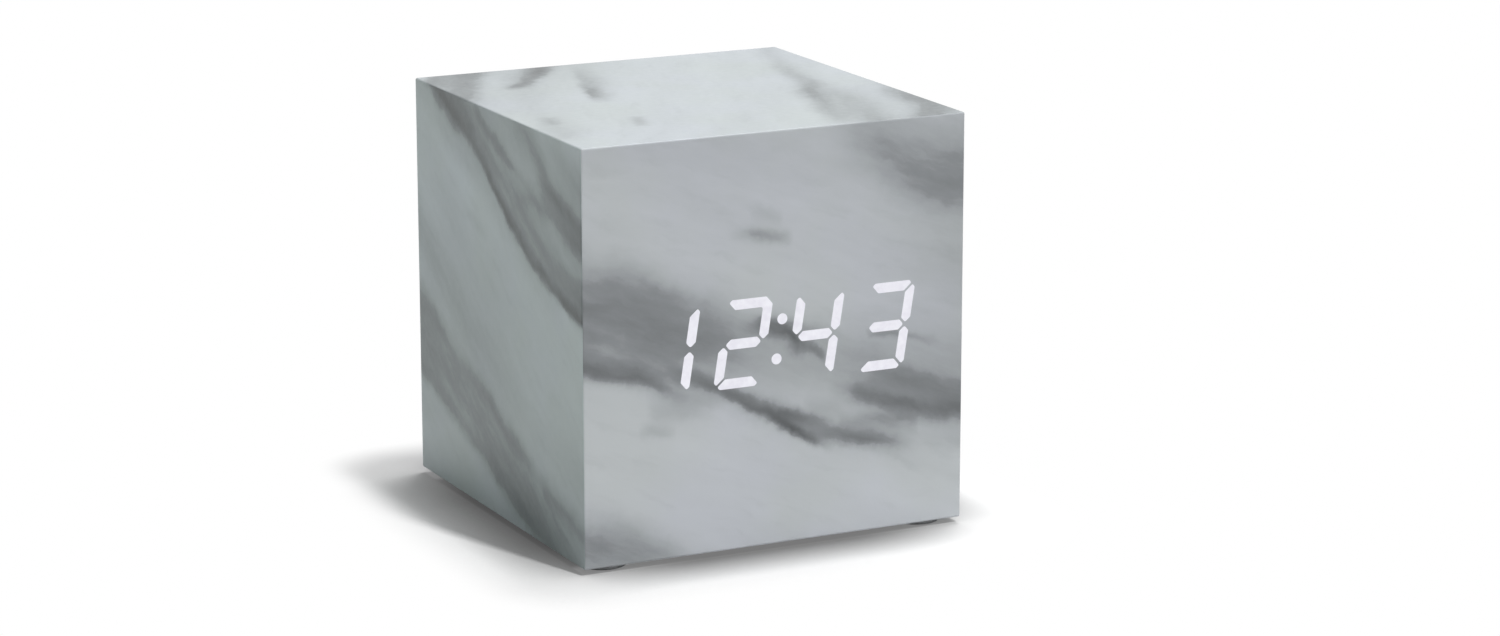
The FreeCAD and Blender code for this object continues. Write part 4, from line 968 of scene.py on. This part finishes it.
def dress_all():
    black = plastic("black_plastic", (34, 34, 36), 0.52)
    dark = plastic("dark_plastic", (26, 26, 28), 0.42, 0.35, 0.006)
    finishes = {
        fibreboard(): ["front_panel", "back_panel", "left_panel", "right_panel", "top_panel", "base_panel"],
        black: ["rear_plate", "battery_box", "battery_door", "door_latch",
                "set_stem", "up_stem", "down_stem"],
        dark: ["dc_jack", "tact_switches", "clock_chip", "buzzer", "ribbon_headers"],
        plastic("white_plastic", (228, 228, 226), 0.45, 0.5, 0.006, 0.03): ["reflector_block"],
        plastic("diffuser", (232, 233, 234), 0.6, 0.6, 0.004, 0.02): ["diffuser_sheet"],
        plastic("bead_epoxy", (24, 24, 26), 0.25, 0.6, 0.01): ["thermistor"],
        plastic("red_lead", (176, 28, 24), 0.35, 0.5, 0.004): ["battery_lead_red"],
        plastic("black_lead", (22, 22, 24), 0.35, 0.5, 0.004): ["battery_lead_black"],
        metal("nickel", (196, 192, 184), 0.28): ["jack_pin", "crystal", "microphone", "negative_contact",
                                                 "right_bridge", "left_bridge", "positive_contact"],
        metal("spring_steel", (186, 184, 178), 0.3, Y): ["contact_springs"],
        metal("can", (190, 192, 196), 0.32, Y): ["capacitor"],
        chips(): ["segment_leds"],
        circuit_board(): ["display_board", "main_board"],
        ribbon(): ["ribbon_cable"],
        cell_jacket("battery_front"): ["battery_front"],
        cell_jacket("battery_middle", turned=True): ["battery_middle"],
        cell_jacket("battery_rear"): ["battery_rear"],
    }
    for material, nodes in finishes.items():
        for node in nodes:
            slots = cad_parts[node].data.materials
            slots.clear()
            slots.append(material)


def small_pieces():
    """The finer pieces that replace plain CAD nodes."""
    smooth(new_piece("lit_strokes", lit_strokes, "case", [lit_face()], "lit_segments"))
    smooth(new_piece("foot_pads", feet, "case", [rubber()], "rubber_feet"))
    cap_black = plastic("cap_plastic", (40, 40, 42), 0.4, 0.3, 0.006)
    for name in ("set", "up", "down"):
        node = f"{name}_button"
        smooth(new_piece(f"{name}_cap", cap(node), f"{name}_key", [cap_black], node))
    zinc = metal("zinc", (176, 177, 180), 0.34)
    screw_set("bay_screws", "box_screws", Z, zinc)
    screw_set("board_screws", "main_board_screws", Y, zinc)
    screw_set("digit_screws", "display_screws", -Y, zinc, corners=(3, 0))


# The stage, the light and the camera

FLOOR_SIZE = 12.0
# The floor's own light: in the open, the share of it that is left at the cube as painted shade, and the
# painted light in the gap under it
GLOW = 0.15
GLOW_UNDER = 0.55
GLOW_GAP = 0.19
# Stretches over which something changes, in millimetres beyond the cube's sides
SIDE_FADE = (-0.5, 0.5)
GAP_FADE = (-9, -4)
WHITE_FROM = (8, 20)
CORNER_FADE = (-22, 16)
# The painted shade close to the cube: what is left of it at the corners, how far it reaches and how deep it
# is
CORNER_SHARE = 0.1
CONTACT_REACH = 12 * MM
CONTACT_DEPTH = 2.6
CONTACT_SAMPLES = 16


def floor():
    """A wide floor that keeps the cube's shadow close by, with painted shade next to the cube, painted light
    in the gap under it, and painted white further off that covers the rest of the shadow.
    """
    tree = Tree("floor_white")
    place = tree.place()
    seen = tree.seen()
    floor_dust_and_painted_shade = tree.vary(tree.noise(place, 0.02), 0.79, 0.81)
    # How far a point lies beyond the cube's sides, along each axis
    beyond = tree.vector("SUBTRACT", tree.vector("ABSOLUTE", place), (EDGE_MM / 2, EDGE_MM / 2, 0))
    beyond_x = tree.dot(beyond, X)
    beyond_y = tree.dot(beyond, Y)
    # Painted shade: where the cube stands close by, the floor is made dark, but less so towards its corners.
    near = tree.add("ShaderNodeAmbientOcclusion", samples=CONTACT_SAMPLES)
    tree.put(near.inputs["Distance"], CONTACT_REACH)
    contact = tree.math("POWER", near.outputs["AO"], CONTACT_DEPTH)
    share = tree.ease(tree.math("MINIMUM", beyond_x, beyond_y), *CORNER_FADE, 1.0, CORNER_SHARE)
    contact = tree.spread(tree.times(seen, share), 0.0, 1.0, 1.0, contact)
    glow = tree.spread(contact, 0.0, 1.0, GLOW * GLOW_UNDER, GLOW)
    # Painted light: the shaded gap under the front and the back of the case glows a soft grey.
    under = tree.ease(tree.math("MAXIMUM", beyond_x, beyond_y), *SIDE_FADE, 1.0, 0.0)
    gap = tree.times(under, tree.ease(beyond_y, *GAP_FADE, 0.0, GLOW_GAP))
    glow = tree.math("MAXIMUM", glow, gap)
    # Painted light: away from the cube the floor turns to the plain white of the background, which also
    # clears the far part of the cube's shadow.
    aside = tree.vector("MAXIMUM", tree.vector("MULTIPLY", beyond, X + Y), (0, 0, 0))
    white = tree.times(seen, tree.ease(tree.vector("LENGTH", aside), *WHITE_FROM))
    grey = tree.rest(white)
    # The floor's dusty colour takes the painted shade, and gives way to the painted white further off.
    floor_dust_and_painted_shade = tree.times(tree.times(floor_dust_and_painted_shade, contact), grey)
    glow = tree.math("ADD", tree.times(glow, grey), white)
    glow = tree.times(seen, glow)
    material = tree.finish(tree.join(floor_dust_and_painted_shade, floor_dust_and_painted_shade, floor_dust_and_painted_shade), 0.9, Specular_IOR_Level=0.0,
                           Emission_Color=(1, 1, 1, 1), Emission_Strength=glow)
    bpy.ops.mesh.primitive_plane_add(size=FLOOR_SIZE)
    plane = bpy.context.object
    plane.name = "floor"
    plane.data.materials.append(material)


WORLD_LIGHT = 0.28


def surroundings():
    """Even white surroundings: white to the eye and to gloss, and a plain level of light on the object."""
    tree = Tree("surroundings", bpy.data.worlds, "Background")
    bpy.context.scene.world = tree.owner
    tree.put(tree.shader.inputs["Color"], (1, 1, 1, 1))
    tree.put(tree.shader.inputs["Strength"], tree.spread(tree.seen(), 0.0, 1.0, WORLD_LIGHT, 1.0))


# The key stands high and nearly in front, so that the shadow lies close along the left side. The fill is
# behind it.
LAMP_REACH = 4.0
KEY = {"way": (0.192, -0.664, 1), "across": 0.2, "upward": 0.93, "power": 110.0}
FILL = {"way": (0.43, 0.3, 1), "across": 1.75, "upward": 1.75, "power": 61.0}


def lamp(name, way, across, upward, power):
    """A soft oblong lamp that faces the middle of the cube, in a given direction from it."""
    light = bpy.data.lights.new(name, "AREA")
    light.shape = "RECTANGLE"
    light.size = across
    light.size_y = upward
    light.energy = power
    made = scene_object(name, light)
    made.location = CENTRE + Vector(way).normalized() * LAMP_REACH
    made.rotation_euler = (-Vector(way)).to_track_quat("-Z", "Y").to_euler()


# Angles are in degrees: how far the camera looks down, and how far it turns from straight in front.
CAMERA_PLACE = (-0.2902, -0.6070, 0.1953)
CAMERA_DOWN = 13.721
CAMERA_TURN = 26.477
CAMERA_LENS = 99.48
CAMERA_SENSOR = 36


def camera():
    """The picture's own view, through a long lens."""
    made = scene_object("camera", bpy.data.cameras.new("camera"))
    made.data.lens = CAMERA_LENS
    made.data.sensor_width = CAMERA_SENSOR
    made.location = CAMERA_PLACE
    made.rotation_euler = (math.radians(90 - CAMERA_DOWN), 0, -math.radians(CAMERA_TURN))
    bpy.context.scene.camera = made


camera()
surroundings()
lamp("key", **KEY)
lamp("fill", **FILL)
floor()
dress_all()
film_wrap()
small_pieces()

bpy.context.scene.view_settings.view_transform = "Standard"
